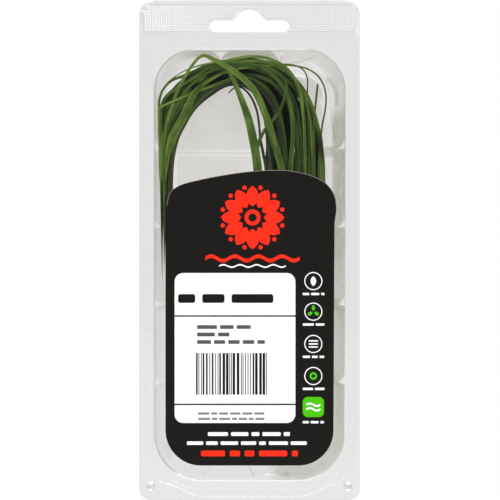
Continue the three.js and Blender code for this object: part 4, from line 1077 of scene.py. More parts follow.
def add_panel(skin, outline, y):
    """The lid's panel, with points close together along its painted reflections."""
    routes = [(tone, half, reflection_route(stations)) for tone, half, stations in PANEL_REFLECTIONS]
    inner = []
    for _, half, route in routes:
        along = np.gradient(route, axis=0)
        along /= np.linalg.norm(along, axis=1)[:, None]
        aside = along[:, ::-1] * (1, -1)
        inner += [route + aside * half * offset for offset in REFLECTION_OFFSETS]
    inner = np.concatenate(inner)
    inner = inner[inside(inner, [inset(outline, PANEL_ROOM)])]
    places, faces = triangulate([outline], inner)
    tones = np.full(len(places), FLANGE_TONE)
    for tone, half, route in routes:
        gaps = np.linalg.norm(places[:, None, :] - route[None], axis=2)
        nearest = gaps.argmin(1)
        ends = smooth(np.minimum(nearest, len(route) - 1 - nearest) / REFLECTION_END_POINTS)
        tones += tone * smooth(REFLECTION_EDGE - gaps.min(1) / half) * ends
    skin.add(np.insert(places, 1, y, axis=1), tones, faces, FLAT)


def add_lid_face(skin, shift, levels, dome, bump, turned):
    """One face of the lid. shift is how far its steps stand inside those of the front."""
    outer = distinct(pack_outline(LID_TOP))
    slot = distinct(slot_outline())
    steps = [inset(platform_outline(), shift), inset(border_outline(), shift)]
    flange = [outer, slot, steps[0], *add_buttons(skin, bump, turned)]
    if turned:
        skin.fill(flange, levels[0], FLANGE_TONE, turned)
    else:
        add_lid_flange(skin, flange, levels[0])
    # The front face's steps take painted highlights along the foot.
    white = (0, 0) if turned else (PLATFORM_HIGHLIGHT, BORDER_HIGHLIGHT)
    one = add_step(skin, steps[0], LID_STEP_RUNS[0], levels[0], levels[1], turned, white[0])
    skin.fill([one, steps[1]], levels[1], FLANGE_TONE, turned)
    two = add_step(skin, steps[1], LID_STEP_RUNS[1], levels[1], levels[2], turned, white[1])
    loops = dome_loops(dome)
    foot, panel = loops[0][:, [0, 2]], loops[-1][:, [0, 2]]
    skin.fill([two, foot], levels[2], FLANGE_TONE, turned)
    skin.bridge(loops, [FLANGE_TONE] * len(loops) if turned else dome_tones(loops[0]), turned)
    if turned:
        skin.fill([panel], dome[-1][1], FLANGE_TONE, turned)
    else:
        add_panel(skin, panel, dome[-1][1])
    return outer, slot


def make_lid(material):
    skin = Skin()
    front = [LID_FRONT - STEP_HEIGHT * k for k in range(3)]
    back = [y + SHEET for y in front]
    outer, slot = add_lid_face(skin, 0, front, DOME_FRONT, BUMP_FRONT, False)
    add_lid_face(skin, SHEET, back, DOME_BACK, BUMP_BACK, True)
    add_rims(skin, outer, slot, LID_FRONT, LID_BACK)
    lid = skin.finish("lid_sheet")
    lid.data.materials.append(material)
    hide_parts("lid")
    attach(lid, "front_half")


# The round end of the rolled fold: how far from its tip, and its radius there.
FOLD_END = [(0, 0.05), (0.06, 0.35), (0.25, 0.53), (0.6, FOLD_RADIUS)]
FOLD_SIDES = 24


def make_fold(material):
    """The rolled fold along the top edge, round in section with round ends."""
    turns = np.linspace(0, 2 * math.pi, FOLD_SIDES + 1)[:-1]
    stations = [(along - FOLD_HALF_LENGTH, r) for along, r in FOLD_END]
    stations += [(-x, r) for x, r in stations[::-1]]
    points = [(x, r * math.sin(a), FOLD_Z + r * math.cos(a)) for x, r in stations for a in turns]
    fold = make_object("fold_bead", points, tube_faces(0, len(stations), FOLD_SIDES), 40)
    set_values(fold.data, "tone", [FLANGE_TONE] * len(points))
    fold.data.materials.append(material)
    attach(fold, "back_half")


# Leaves


def draws(seed):
    """Repeatable draws between -1 and 1, the same as the solids use."""
    state = seed

    def draw():
        nonlocal state
        state = (state * 1664525 + 1013904223) % 2**32
        return state / 2**31 - 1

    return draw


def through_three(values, share):
    start, middle, end = values
    return mix(mix(start, middle, share), mix(middle, end, share), share)


# How far inwards the tray's wall lies by depth, and the lid's wall in front of it.
WALL_INSETS = np.array([(-1.25, 0), (-0.6, 0.25), (2, 1.2), (12.8, 4.4), (16.4, 5.9), (18, 8.8)])
LID_WALL_INSET = 0.9


def keep_inside(x, y, z, width):
    """A point of a leaf's middle line, moved off the wall of the cavity where it would touch it."""
    depths, insets = WALL_INSETS.T
    wall = LID_WALL_INSET if y < depths[0] else np.interp(y, depths, insets)
    corner_x = CAVITY_HALF_WIDTH - CAVITY_TOP_CORNER
    corner_z = CAVITY_TOP - CAVITY_TOP_CORNER
    side = -1 if x < CAVITY_CENTRE_X else 1
    out_x = abs(x - CAVITY_CENTRE_X) - corner_x
    out_z = z - corner_z
    reach = CAVITY_TOP_CORNER - (wall + LEAF_CLEARANCE + width / 2)
    if out_x > 0 and out_z > 0:
        share = min(1, reach / math.hypot(out_x, out_z))
        return (CAVITY_CENTRE_X + side * (corner_x + out_x * share), y, corner_z + out_z * share)
    return (CAVITY_CENTRE_X + side * (corner_x + min(out_x, reach)), y, corner_z + min(out_z, reach))


def layer_y(layer, z):
    return mix(layer[0], layer[1], opening(z))


def opening(z):
    """How far the bunch has opened at a height, from its pinched end to its top."""
    return smooth((z - PINCHED_Z) / (OPEN_Z - PINCHED_Z))


def cut_end(x, place, layer, draw):
    y = layer[0] + (CUT_END_STAGGER if place % 2 else -CUT_END_STAGGER)
    return (x, y, CUT_END_Z + CUT_SPREAD * draw(), CUT_END_WIDTH)


def front_leaves():
    layer = LAYERS[0]
    draw = draws(11)
    leaves = []
    for place, leaf in enumerate(FRONT_LEAVES):
        stations = [cut_end(FRONT_LAYER_START_X + place * FRONT_CUT_SPACING, place, layer, draw)]
        for i, (x, z, width) in enumerate(leaf["route"]):
            lift = through_three(leaf["lift"], (i + 1) / len(leaf["route"]))
            stations.append((x, layer_y(layer, z) + lift * opening(z), z, width))
        leaves.append({"purple": [0], **leaf, "stations": stations})
    return leaves


def back_leaf(place, count, index, draw):
    layer = LAYERS[index]
    share = (place + LAYER_OFFSET * index) / count
    shares = [share, share + CROSSING * draw(), share + TIP_CROSSING * draw()]
    width = LEAF_WIDTH + WIDTH_SPREAD * draw()
    drop = TIP_DROP + TIP_DROP_SPREAD * draw()
    turns = (0, TWIST * draw(), TIP_TWIST * draw())
    half_depth = (width / 2) * math.sin(abs(through_three(turns, 0.5))) + LEAF_THICKNESS / 2
    spare = LAYER_HALF_DEPTH - half_depth
    depths = (0, MIDDLE_LIFT * spare * draw(), TIP_LIFT * spare * draw())
    stations = []
    for i, ((inner_x, inner_z), (outer_x, outer_z)) in enumerate(zip(INNER_EDGE, OUTER_EDGE)):
        along = (i + 1) / len(INNER_EDGE)
        across = min(1, max(0, through_three(shares, along) + WANDER * draw()))
        z = mix(inner_z, outer_z, across)
        y = layer_y(layer, z) + through_three(depths, along)
        stations.append((mix(inner_x, outer_x, across), y, z, mix(width, TIP_WIDTH * width, along**2)))
    x, y, z, _ = stations[-1]
    stations.append((x, y, z - drop, END_WIDTH * width))
    cut_x = BACK_LAYER_START_X + place * BACK_CUT_WIDTH / count
    leaf = {"turns": turns, "shaded": True, "stations": [cut_end(cut_x, place, layer, draw), *stations]}
    if place == 0:
        leaf.update(INNERMOST_LEAF)
    return leaf


def back_leaves(index, seed, count):
    draw = draws(seed)
    return [back_leaf(place, count, index, draw) for place in range(count)]


# How light the leaves behind the front layer are, low as painted shade, how much darker the farther layers
# are, also painted shade, and the hollows in which shaded leaves are darkest with painted shade: X, Z and
# the half sizes of each.
BACK_LIGHTS = [0.05, 0.2, 0.4, 0.65]
BACK_LIGHT_GAIN = 1.05
BACK_LIGHT_LOSS = 0.01
PURPLE_RANGE = (-2.5, 0.5)
HOLLOWS = [(-15.6, -25.6, 4.6, 2.6), (-12.4, -29, 4.4, 1.5), (-22.6, -31, 3.2, 2),
           (9.6, -33, 2.8, 4.6), (14.2, -49, 2.2, 12), (19, -52, 2, 10), (27, -58, 1.2, 8)]
HOLLOW_EDGE = 1.5

# Half a leaf's section, from its edge to its keel: the share of its half width, and of its
# thickness in front and behind. The section is folded a little along its keel.
SECTION = [(1, 0.12, -0.12), (0.86, 0.34, -0.3), (0.6, 0.46, -0.44), (0.3, 0.5, -0.52), (0, 0.5, -0.62)]
KEEL_FOLDS = (0.05, 0.3)
STEPS_PER_STATION = 5

# A leaf's point grows to full width over part of a span, and a thin leaf is thinner too.
POINT_GROWTH = 1.2
POINT_START = 0.06
THICKNESS_BY_WIDTH = 0.34
THICKNESS_START = 0.1

# What materials read at each vertex of a leaf.
LEAF_VALUES = ("across", "along", "light", "purple", "hollow", "number")


def whole_section():
    front_side = [(-u, f) for u, f, _ in SECTION] + [(u, f) for u, f, _ in SECTION[::-1][1:]]
    back_side = [(u, b) for u, _, b in SECTION] + [(-u, b) for u, _, b in SECTION[::-1][1:]]
    return front_side + back_side


def section_axes(along, turn):
    """The directions across a leaf and out of its face, for a leaf turned about its length."""
    flat_across = np.cross(along, (0, -1, 0))
    flat_across /= np.linalg.norm(flat_across)
    flat_front = np.cross(flat_across, along)
    across = flat_across * math.cos(turn) + flat_front * math.sin(turn)
    front = flat_front * math.cos(turn) - flat_across * math.sin(turn)
    return across, front


def leaf_rings(leaf, keel_fold):
    """Rings of points along a leaf, with the share of its length for each."""
    stations = np.array([(*keep_inside(*s), s[3]) for s in leaf["stations"]])
    spans = len(stations) - 1
    route = CatmullRom(stations[:, :3])
    section = whole_section()
    rings = []
    for step in range(spans * STEPS_PER_STATION + 1):
        share = step / (spans * STEPS_PER_STATION)
        place = share * spans
        span = min(int(place), spans - 1)
        width = mix(stations[span, 3], stations[span + 1, 3], smooth(place - span))
        middle = route.point(share)
        across, front = section_axes(route.direction(share), through_three(leaf["turns"], share))
        closing = 1 if leaf.get("blunt") else min(1, (1 - share) * spans * POINT_GROWTH + POINT_START)
        half = width / 2 * closing
        thick = min(LEAF_THICKNESS, THICKNESS_BY_WIDTH * width + THICKNESS_START) * (0.5 + 0.5 * closing)
        rings.append((share, [
            middle + across * u * half + front * (v * thick + keel_fold * half * (abs(u) - 0.5))
            for u, v in section]))
    return rings


def spread(values, share):
    """A value out of a row of values laid evenly along a leaf."""
    return np.interp(share, np.linspace(0, 1, len(values)), values)


def hollow(point):
    """How deep a place lies in the shade of a hollow of the bunch."""
    x, _, z = point
    return max(smooth(HOLLOW_EDGE - math.hypot((x - middle_x) / half_x, (z - middle_z) / half_z))
               for middle_x, middle_z, half_x, half_z in HOLLOWS)


def make_leaves(name, node, leaves, seed, material):
    random = np.random.default_rng(seed)
    across = [u for u, _ in whole_section()]
    size = len(across)
    points, faces, values = [], [], []
    for number, leaf in enumerate(leaves):
        keel_fold = random.uniform(*KEEL_FOLDS)
        # Leaves without lights of their own get low ones at random, darker in farther layers, as painted
        # shade.
        chosen_light = random.choice(BACK_LIGHTS) * (BACK_LIGHT_GAIN - BACK_LIGHT_LOSS * seed)
        light = leaf.get("light", [chosen_light])
        purple = leaf.get("purple", [max(0, random.uniform(*PURPLE_RANGE))])
        rings = leaf_rings(leaf, keel_fold)
        faces += tube_faces(len(points), len(rings), size)
        for share, ring in rings:
            points += ring
            # Shaded leaves take painted shade where they pass through the hollows.
            depth = hollow(ring[0]) if leaf.get("shaded") else 0
            here = (spread(light, share), spread(purple, share), depth, number + seed)
            values += [(u, share, *here) for u in across]
    bunch = make_object(name, points, faces, 60)
    for title, column in zip(LEAF_VALUES, np.array(values).T):
        set_values(bunch.data, title, column)
    face_outwards(bunch.data)
    bunch.data.materials.append(material)
    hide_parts(node)
    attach(bunch, "back_half")


# The label and its print


def disc(x, z, radius, count=28):
    turns = np.linspace(0, -2 * math.pi, count + 1)[:-1]
    return [(x + radius * math.cos(a), z + radius * math.sin(a)) for a in turns]


def bar(left, right, top, bottom, corner=None):
    corner = min(right - left, top - bottom) / 2 * 0.98 if corner is None else corner
    centre = (left + right) / 2
    return rounded_outline(centre, (right - left) / 2, top, bottom, corner, 3)


def rounded_outline(centre, half_width, top, bottom, corner, steps):
    right = centre + half_width
    left = centre - half_width
    return distinct([
        *quarter_turn(left + corner, top - corner, corner, math.pi, steps),
        *quarter_turn(right - corner, top - corner, corner, math.pi / 2, steps),
        *quarter_turn(right - corner, bottom + corner, corner, 0, steps),
        *quarter_turn(left + corner, bottom + corner, corner, -math.pi / 2, steps),
    ])


INK_COLOURS = {
    "black": rgb(30, 28, 26),
    "white": rgb(254, 254, 254),
    "grey": rgb(92, 90, 88),
    "pale grey": rgb(138, 136, 134),
    "red": rgb(252, 50, 30),
    "green": rgb(80, 200, 20),
}
INKS = list(INK_COLOURS)


# A row's bars and gaps, as shares of its height.
ROW_BAR_LENGTHS = (1.6, 5.5)
ROW_BAR_CORNER = 0.25
ROW_GAP = 0.8


def bar_row(left, right, z, height, seed):
    """A row of short bars of uneven length."""
    random = np.random.default_rng(seed)
    shapes = []
    x = left
    while x < right - height:
        end = min(right, x + height * random.uniform(*ROW_BAR_LENGTHS))
        shapes.append(bar(x, end, z + height / 2, z - height / 2, height * ROW_BAR_CORNER))
        x = end + height * ROW_GAP
    return shapes


BAR_WIDTHS = [0.33, 0.33, 0.66, 0.99]
BAR_GAPS = [0.33, 0.66, 0.66]


def box(left, right, top, bottom):
    return [(left, top), (right, top), (right, bottom), (left, bottom)]


def bar_block(left, right, top, bottom, seed):
    random = np.random.default_rng(seed)
    shapes = []
    x = left
    while x < right - 0.4:
        width = random.choice(BAR_WIDTHS)
        shapes.append(box(x, min(right, x + width), top, bottom))
        x += width + random.choice(BAR_GAPS)
    return shapes


def petal(x, z, angle, near, far, half_width):
    """A pointed oval that stands off a centre along an angle."""
    shares = np.linspace(0, 1, 9)
    side = [(mix(near, far, t), half_width * math.sin(math.pi * t) ** 0.7) for t in shares]
    outline = side + [(r, -w) for r, w in side[::-1][1:-1]]
    cos, sin = math.cos(angle), math.sin(angle)
    return [(x + r * cos - w * sin, z + r * sin + w * cos) for r, w in outline]


def wave_band(left, right, z, swing, thickness, periods):
    xs = np.linspace(left, right, 40)
    middle = [z + swing * math.sin(2 * math.pi * periods * (x - left) / (right - left)) for x in xs]
    upper = [(x, m + thickness / 2) for x, m in zip(xs, middle)]
    lower = [(x, m - thickness / 2) for x, m in zip(xs, middle)]
    return upper + lower[::-1]


def inked(ink, *outlines):
    return [(ink, outline) for outline in outlines]


def panel_print():
    """A white panel with its rules, a row of blocks, short rows and a block of bars."""
    shapes = inked("white", rounded_outline(-5.74, 23.93, -105.39, -164.82, 3.4, 8))
    for z in (-122.43, -157.45):
        shapes += inked("black", box(-29.67, 18.19, z + 0.3, z - 0.3))
    shapes += inked("black", *bar_row(-28.3, 13.3, -115.5, 3.5, 3))
    for z, right, seed in ((-126.8, 0.5, 4), (-129.76, -8, 5), (-132.73, 6.1, 6)):
        shapes += inked("grey", *bar_row(-20.8, right, z, 1.5, seed))
    shapes += inked("black", *bar_block(-21.2, 7.33, -137.1, -153.6, 8))
    for z, seed in ((-161.06, 9), (-163.2, 10)):
        shapes += inked("pale grey", *bar_row(-20.4, 5.9, z, 0.9, seed))
    return shapes


EMBLEM_CENTRE = (1.2, -83.4)
PETALS = 12
PETAL_SPAN = (4.4, 12.6)
PETAL_HALF_WIDTH = 2.5
DOT_RING = 12.2
DOT_RADIUS = 0.9


def emblem_print():
    """Petals and dots in rings round a centre, with waved bands under them."""
    x, z = EMBLEM_CENTRE
    shapes = []
    for k in range(PETALS):
        angle = math.pi / 2 + k * 2 * math.pi / PETALS
        shapes += inked("red", petal(x, z, angle, *PETAL_SPAN, PETAL_HALF_WIDTH))
    shapes += inked("red", disc(x, z, 3.2))
    shapes += inked("black", disc(x, z, 1.6))
    for k in range(PETALS):
        angle = math.pi / 2 + (k + 0.5) * 2 * math.pi / PETALS
        dot = (x + DOT_RING * math.cos(angle), z + DOT_RING * math.sin(angle))
        shapes += inked("red", disc(*dot, DOT_RADIUS, 14))
    shapes += inked("red", wave_band(-17.5, 19.9, -99.6, 0.9, 1.5, 4))
    shapes += inked("white", wave_band(-12, 14.4, -102.6, 0.5, 0.6, 4))
    return shapes


SIGN_X = 25.3
ROUND_SIGN_HEIGHTS = [-108.6, -120.7, -133.5, -146.2]
SQUARE_SIGN_HEIGHT = -158.5


def round_sign_print(k, x, z):
    """What the round sign with a number, from the top down, has in it."""
    if k == 0:
        return inked("white", petal(x, z - 2, math.pi / 2, 0, 4, 1.1))
    if k == 1:
        angles = [math.pi / 2 + turn * 2 * math.pi / 3 for turn in range(3)]
        return inked("green", *(petal(x, z, angle, 0.4, 2.6, 0.7) for angle in angles))
    if k == 2:
        rows = (-1.2, 0, 1.2)
        return inked("white", *(bar(x - 1.9, x + 1.9, z + row + 0.28, z + row - 0.28) for row in rows))
    return inked("green", disc(x, z, 1.5)) + inked("black", disc(x, z, 0.7))


def sign_prints():
    """Small signs down the right side, each with a row under it."""
    shapes = []
    x = SIGN_X
    for k, z in enumerate(ROUND_SIGN_HEIGHTS):
        shapes += inked("white", disc(x, z, 3.6))
        shapes += inked("black", disc(x, z, 3.2))
        shapes += round_sign_print(k, x, z)
        shapes += inked("white", *bar_row(x - 4.2, x + 4.4, z - 5.1, 0.95, 20 + k))
    z = SQUARE_SIGN_HEIGHT
    shapes += inked("green", rounded_outline(x, 4.2, z + 4, z - 4, 2, 6))
    for rise in (0.9, -0.9):
        shapes += inked("white", wave_band(x - 2.8, x + 2.8, z + rise, 0.5, 0.8, 1))
    return shapes + inked("white", *bar_row(x - 4.2, x + 4.2, z - 6, 0.95, 30))


def print_shapes():
    """The label's print, in the order it is laid down: ink and outline."""
    return [
        *panel_print(),
        *emblem_print(),
        *sign_prints(),
        *inked("white", *bar_row(-16.5, 16, -169.2, 1.5, 41)),
        *inked("white", *bar_row(-24.8, 25, -172.8, 1.4, 42)),
        *inked("red", *bar_row(-19.2, 19.2, -176.9, 2.3, 43)),
    ]


def printed_face(edge):
    """The label's face inside an edge, with the number of the ink on each triangle."""
    shapes = [(name, distinct(shape)) for name, shape in print_shapes()]
    places, faces = divide([edge, *(shape for _, shape in shapes)], nearness=1e-5)
    middles = places[faces].mean(1)
    keep = inside(middles, [edge])
    faces, middles = faces[keep], middles[keep]
    ink = np.zeros(len(faces), int)
    for name, shape in shapes:
        ink[inside(middles, [shape])] = INKS.index(name)
    return places, faces, ink


def make_label(inks, edge_highlight):
    outline = distinct(label_outline())
    bevel = inset(outline, LABEL_BEVEL)
    places, face_list, ink = printed_face(bevel)
    points = np.concatenate([
        np.insert(places, 1, LABEL_FRONT, axis=1),
        at_depth(outline, LABEL_FRONT + LABEL_BEVEL_DEPTH),
        at_depth(outline, LABEL_BACK),
    ])
    count = len(outline)
    rim = len(places)
    face_rim = [int(np.argmin(np.linalg.norm(places - p, axis=1))) for p in bevel]
    faces = [tuple(f) for f in face_list]
    slots = ink.tolist()
    highlight_slot = len(INKS)
    for i in range(count):
        j = (i + 1) % count
        # The bevel along the label's top edge is a lighter grey, a painted highlight.
        on_top = min(outline[i][1], outline[j][1]) > LABEL_TOP_EDGE[-2][1]
        faces.append((face_rim[i], face_rim[j], rim + j, rim + i))
        faces.append((rim + i, rim + j, rim + count + j, rim + count + i))
        slots += [highlight_slot if on_top else INKS.index("black"), INKS.index("black")]
    faces.append(tuple(range(rim + count, rim + 2 * count)))
    slots.append(INKS.index("white"))
    label = make_object("label_film", points, faces)
    for material in [*(inks[name] for name in INKS), edge_highlight]:
        label.data.materials.append(material)
    label.data.polygons.foreach_set("material_index", slots)
    face_outwards(label.data)
    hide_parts("label")
    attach(label, "front_half")


# Materials


class Nodes:
    """The node tree of a material or a world, with short ways to add to it."""

    def __init__(self, owner, output="OutputMaterial"):
        self.owner = owner
        owner.use_nodes = True
        self.tree = owner.node_tree
        self.tree.nodes.clear()
        self.output = self.tree.nodes.new("ShaderNode" + output)

    def add(self, kind, inputs=None, **settings):
        node = self.tree.nodes.new("ShaderNode" + kind)
        for name, value in settings.items():
            setattr(node, name, value)
        for name, value in (inputs or {}).items():
            self.put(node.inputs[name], value)
        return node

    def put(self, socket, value):
        if isinstance(value, bpy.types.NodeSocket):
            self.tree.links.new(value, socket)
        else:
            socket.default_value = value

    def finish(self, surface):
        self.put(self.output.inputs["Surface"], surface.outputs[0])
        return self.owner

    def attribute(self, name):
        return self.add("Attribute", attribute_name=name).outputs["Fac"]

    def position(self):
        return self.add("TexCoord").outputs["Object"]

    def camera_ray(self):
        return self.add("LightPath").outputs["Is Camera Ray"]

    def math(self, operation, a, b=0.0, clamp=False):
        return self.add("Math", {0: a, 1: b}, operation=operation, use_clamp=clamp).outputs[0]

    def blend(self, factor, a, b):
        return self.add("Mix", {"Factor": factor, 6: a, 7: b}, data_type="RGBA").outputs[2]

    def noise(self, scale, detail, place):
        inputs = {"Scale": scale, "Detail": detail, "Vector": place}
        return self.add("TexNoise", inputs).outputs["Fac"]

    def remap(self, value, low, high, to_low, to_high):
        inputs = {"Value": value, "From Min": low, "From Max": high, "To Min": to_low, "To Max": to_high}
        return self.add("MapRange", inputs).outputs["Result"]

    def bump(self, height, strength, distance):
        inputs = {"Height": height, "Strength": strength, "Distance": distance}
        return self.add("Bump", inputs).outputs[0]


# Tints of the sheet by tone, which carry painted shade, the white of its painted highlights, and its
# gloss.
CLEAR_FLAT = (0.984, 0.982, 0.984, 1)
CLEAR_FLOOR = (0.896, 0.887, 0.869, 1)
CLEAR_EDGE = (0.745, 0.75, 0.70, 1)
CLEAR_LINE = (0.3, 0.3, 0.28, 1)
HIGHLIGHT_WHITE = (0.99, 0.99, 0.99, 1)
GLOSS_TINT = (0.95, 0.95, 0.95, 1)
CLEAR_GLOSS = 0.07


def clear_sheet():
    """Clear formed sheet: a faint haze and painted shade in its tint, a slow ripple in its gloss, painted
    highlights in white.
    """
    nodes = Nodes(bpy.data.materials.new("clear_sheet"))
    position = nodes.position()
    set_tone = nodes.attribute("tone")
    slow = nodes.remap(nodes.noise(60, 3, position), 0.3, 0.7, 0.85, 1.15)
    patchy = nodes.remap(nodes.noise(260, 3, position), 0.35, 0.65, 0.65, 1.3)
    mottle = nodes.math("MULTIPLY", slow, nodes.remap(set_tone, 0.85, 1.1, 1.0, patchy))
    tone = nodes.math("MULTIPLY", set_tone, mottle)
    lower = nodes.blend(nodes.remap(tone, 0.0, 0.5, 0.0, 1.0), CLEAR_FLAT, CLEAR_FLOOR)
    upper = nodes.blend(nodes.remap(tone, 0.5, 1.0, 0.0, 1.0), lower, CLEAR_EDGE)
    tint = nodes.blend(nodes.remap(tone, 1.3, 2.0, 0.0, 1.0), upper, CLEAR_LINE)
    ripple = nodes.bump(nodes.noise(120, 2, position), 0.05, 0.002)
    facing = nodes.add("LayerWeight", {"Blend": 0.5, "Normal": ripple}).outputs["Facing"]
    gloss_share = nodes.math("ADD", nodes.math("MULTIPLY", nodes.math("POWER", facing, 5.0), 0.6), 0.04)
    clear = nodes.add("BsdfTransparent", {"Color": tint})
    gloss = nodes.add("BsdfGlossy", {"Color": GLOSS_TINT, "Roughness": CLEAR_GLOSS, "Normal": ripple})
    sheet = nodes.add("MixShader", {0: gloss_share, 1: clear.outputs[0], 2: gloss.outputs[0]})
    white = nodes.add("BsdfDiffuse", {"Color": HIGHLIGHT_WHITE})
    highlight_share = nodes.math("MULTIPLY", set_tone, -1.0, True)
    return nodes.finish(nodes.add("MixShader", {0: highlight_share, 1: sheet.outputs[0], 2: white.outputs[0]}))


# A leaf's colours where it is dark, middling and light, in front and, darker as painted shade, behind, and
# those of its purplish strands, of the painted shade in the hollows and of the cut end.
LEAF_COLOURS = (rgb(36, 44, 25), rgb(70, 95, 37), rgb(116, 143, 64))
SHADED_LEAF_COLOURS = (rgb(30, 34, 23), rgb(58, 77, 33), rgb(94, 118, 52))
PURPLISH_COLOUR = rgb(52, 44, 50)
HOLLOW_SHADE_COLOUR = rgb(26, 24, 20)
CUT_COLOUR = rgb(176, 190, 128)


def leaf_material(name, dark, mid, bright):
    """Leaf skin: lengthwise veins, patches along the leaf, a pale cut end, darker purplish strands and
    painted shade in the hollows.
    """
    nodes = Nodes(bpy.data.materials.new(name))
    across = nodes.attribute("across")
    along = nodes.attribute("along")
    number = nodes.attribute("number")

    def grain(across_scale, along_scale, detail):
        place = nodes.add("CombineXYZ", {"X": nodes.math("MULTIPLY", across, across_scale),
                                         "Y": nodes.math("MULTIPLY", along, along_scale), "Z": number})
        return nodes.noise(1.0, detail, place.outputs[0])

    veins = grain(5.0, 6.0, 3)
    level = nodes.attribute("light")
    for change in (
        nodes.remap(grain(0.6, 14.0, 2), 0.3, 0.7, -0.25, 0.3),
        nodes.remap(along, 0.55, 1.0, 0.0, 0.2),
        nodes.remap(veins, 0.3, 0.7, -0.16, 0.16),
        nodes.remap(nodes.math("ABSOLUTE", across), 0.75, 0.95, 0.0, 0.2),
    ):
        level = nodes.math("ADD", level, change)
    lower = nodes.blend(nodes.remap(level, 0.0, 0.55, 0.0, 1.0), dark, mid)
    green = nodes.blend(nodes.remap(level, 0.55, 1.1, 0.0, 1.0), lower, bright)
    purplish = nodes.blend(nodes.attribute("purple"), green, PURPLISH_COLOUR)
    shaded = nodes.blend(nodes.attribute("hollow"), purplish, HOLLOW_SHADE_COLOUR)
    colour = nodes.blend(nodes.remap(along, 0.0, 0.05, 0.75, 0.0), shaded, CUT_COLOUR)
    return nodes.finish(nodes.add("BsdfPrincipled", {
        "Base Color": colour, "Roughness": nodes.remap(veins, 0.2, 0.8, 0.42, 0.58),
        "Specular IOR Level": 0.2, "Normal": nodes.bump(veins, 0.35, 0.0003)}))


INK_ROUGHNESS = 0.42
INK_MOTTLE_SHADE = 0.8
# A grey for the bevel along the label's top edge, a painted highlight.
EDGE_HIGHLIGHT_COLOUR = rgb(150, 144, 136)


def ink_material(name, colour):
    """Satin printed film with a faint mottle."""
    nodes = Nodes(bpy.data.materials.new(name))
    mottle = nodes.noise(900, 2, nodes.position())
    darker = (*[c * INK_MOTTLE_SHADE for c in colour[:3]], 1)
    shade = nodes.blend(nodes.remap(mottle, 0.3, 0.7, 0.0, 0.12), colour, darker)
    return nodes.finish(nodes.add("BsdfPrincipled", {
        "Base Color": shade, "Roughness": INK_ROUGHNESS, "Specular IOR Level": 0.1,
        "Normal": nodes.bump(mottle, 0.08, 0.0001)}))


# Stage, light and camera


def make_camera():
    data = bpy.data.cameras.new("camera")
    data.sensor_width = SENSOR_WIDTH
    data.lens = SENSOR_WIDTH * CAMERA_DISTANCE / PICTURE_WIDTH
    camera = bpy.data.objects.new("camera", data)
    camera.location = (PICTURE_CENTRE_X * MM, -CAMERA_DISTANCE * MM, PICTURE_CENTRE_Z * MM)
    camera.rotation_euler = (math.pi / 2, 0, 0)
    bpy.context.scene.collection.objects.link(camera)
    bpy.context.scene.camera = camera


# How bright the white around the pack is where it lights it: in front and behind, and from below and
# from above as shares of that. The floor shines on the pack far less than it looks.
WORLD_FRONT = 0.08
WORLD_BACK = 0.5
WORLD_BELOW = 0.6
WORLD_ABOVE = 1.2
FLOOR_Z = -0.42
FLOOR_HALF = 4.0
FLOOR_COLOUR = (0.86, 0.86, 0.86, 1)
FLOOR_SHINE = 0.35
WHITE = (1, 1, 1, 1)


def make_floor():
    """A pale floor under the hanging pack that brightens into the background away from it."""
    corners = [(-1, -1), (1, -1), (1, 1), (-1, 1)]
    points = np.array([(x * FLOOR_HALF, y * FLOOR_HALF, FLOOR_Z) for x, y in corners])
    floor = make_object("floor", points / MM, [(0, 1, 2, 3)])
    nodes = Nodes(bpy.data.materials.new("floor"))
    split = nodes.add("SeparateXYZ", {0: nodes.position()})
    squares = [nodes.math("POWER", split.outputs[axis], 2.0) for axis in (0, 1)]
    far = nodes.remap(nodes.math("SQRT", nodes.math("ADD", *squares)), 0.2, 1.0, 0.0, 1.0)
    pale = nodes.add("BsdfDiffuse", {"Color": FLOOR_COLOUR})
    strength = nodes.remap(nodes.camera_ray(), 0.0, 1.0, FLOOR_SHINE, 1.0)
    shine = nodes.add("Emission", {"Color": WHITE, "Strength": strength})
    surface = nodes.add("MixShader", {0: far, 1: pale.outputs[0], 2: shine.outputs[0]})
    floor.data.materials.append(nodes.finish(surface))


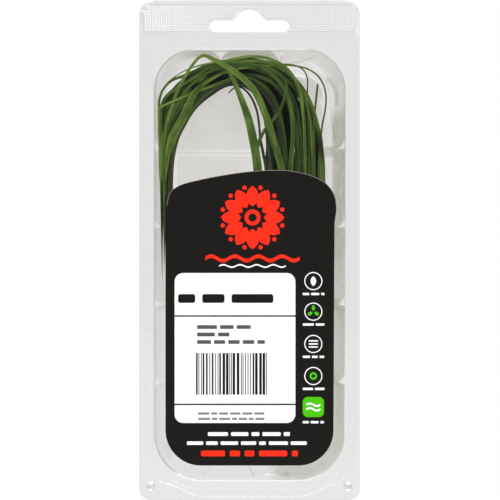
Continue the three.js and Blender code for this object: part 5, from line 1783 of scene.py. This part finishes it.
def make_world():
    """White where the camera sees it. What it lights has it dim in front, where the camera stands, and
    bright behind and above."""
    nodes = Nodes(bpy.data.worlds.new("world"), "OutputWorld")
    direction = nodes.add("SeparateXYZ", {0: nodes.add("TexCoord").outputs["Generated"]})
    behind = nodes.remap(direction.outputs["Y"], -0.9, 0.2, WORLD_FRONT, WORLD_BACK)
    above = nodes.remap(direction.outputs["Z"], -1.0, 1.0, WORLD_BELOW, WORLD_ABOVE)
    lit = nodes.math("MULTIPLY", behind, above)
    strength = nodes.remap(nodes.camera_ray(), 0.0, 1.0, lit, 1.0)
    background = nodes.add("Background", {"Color": WHITE, "Strength": strength})
    bpy.context.scene.world = nodes.finish(background)


def make_light(name, location, target, size, power, glossy=False, diffuse=1.0):
    data = bpy.data.lights.new(name, "AREA")
    data.shape = "RECTANGLE"
    data.size, data.size_y = size
    data.energy = power
    data.diffuse_factor = diffuse
    light = bpy.data.objects.new(name, data)
    light.location = location
    light.rotation_euler = (Vector(target) - Vector(location)).to_track_quat("-Z", "Y").to_euler()
    light.visible_camera = False
    light.visible_transmission = False
    light.visible_glossy = glossy
    bpy.context.scene.collection.objects.link(light)


def make_lights():
    target = (0, 0, -0.09)
    make_light("key", (0.5, -0.5, 0.35), target, (0.35, 0.35), 5)
    make_light("fill", (-0.55, -0.45, 0.1), target, (0.5, 0.5), 2.4)
    make_light("low", (0, -0.05, -0.39), target, (0.4, 0.1), 0.2)
    make_light("back", (-0.4, 0.6, 0.3), target, (0.5, 0.5), 5)
    make_light("glint", (-0.5, -0.5, 0.35), target, (0.35, 0.35), 0.7, glossy=True, diffuse=0.0)


def make_bunch():
    make_leaves("chives_1", "chives_layer_1", front_leaves(), 1,
                leaf_material("chive_leaf", *LEAF_COLOURS))
    # The leaves behind the front layer get a darker copy of the leaf material, as painted shade.
    shaded = leaf_material("chive_leaf_shaded", *SHADED_LEAF_COLOURS)
    for index in range(1, len(LAYERS)):
        leaves = back_leaves(index, 13 + 10 * index, LEAVES_PER_BACK_LAYER)
        make_leaves(f"chives_{index + 1}", f"chives_layer_{index + 1}", leaves, 10 * index, shaded)


def make_all():
    scene = bpy.context.scene
    scene.view_settings.view_transform = "Standard"
    scene.cycles.transparent_max_bounces = 32
    make_camera()
    make_floor()
    make_world()
    make_lights()
    clear = clear_sheet()
    make_tray(clear)
    make_lid(clear)
    make_fold(clear)
    make_bunch()
    inks = {name: ink_material("label_" + name.replace(" ", "_"), colour)
            for name, colour in INK_COLOURS.items()}
    make_label(inks, ink_material("label_edge_highlight", EDGE_HIGHLIGHT_COLOUR))


make_all()
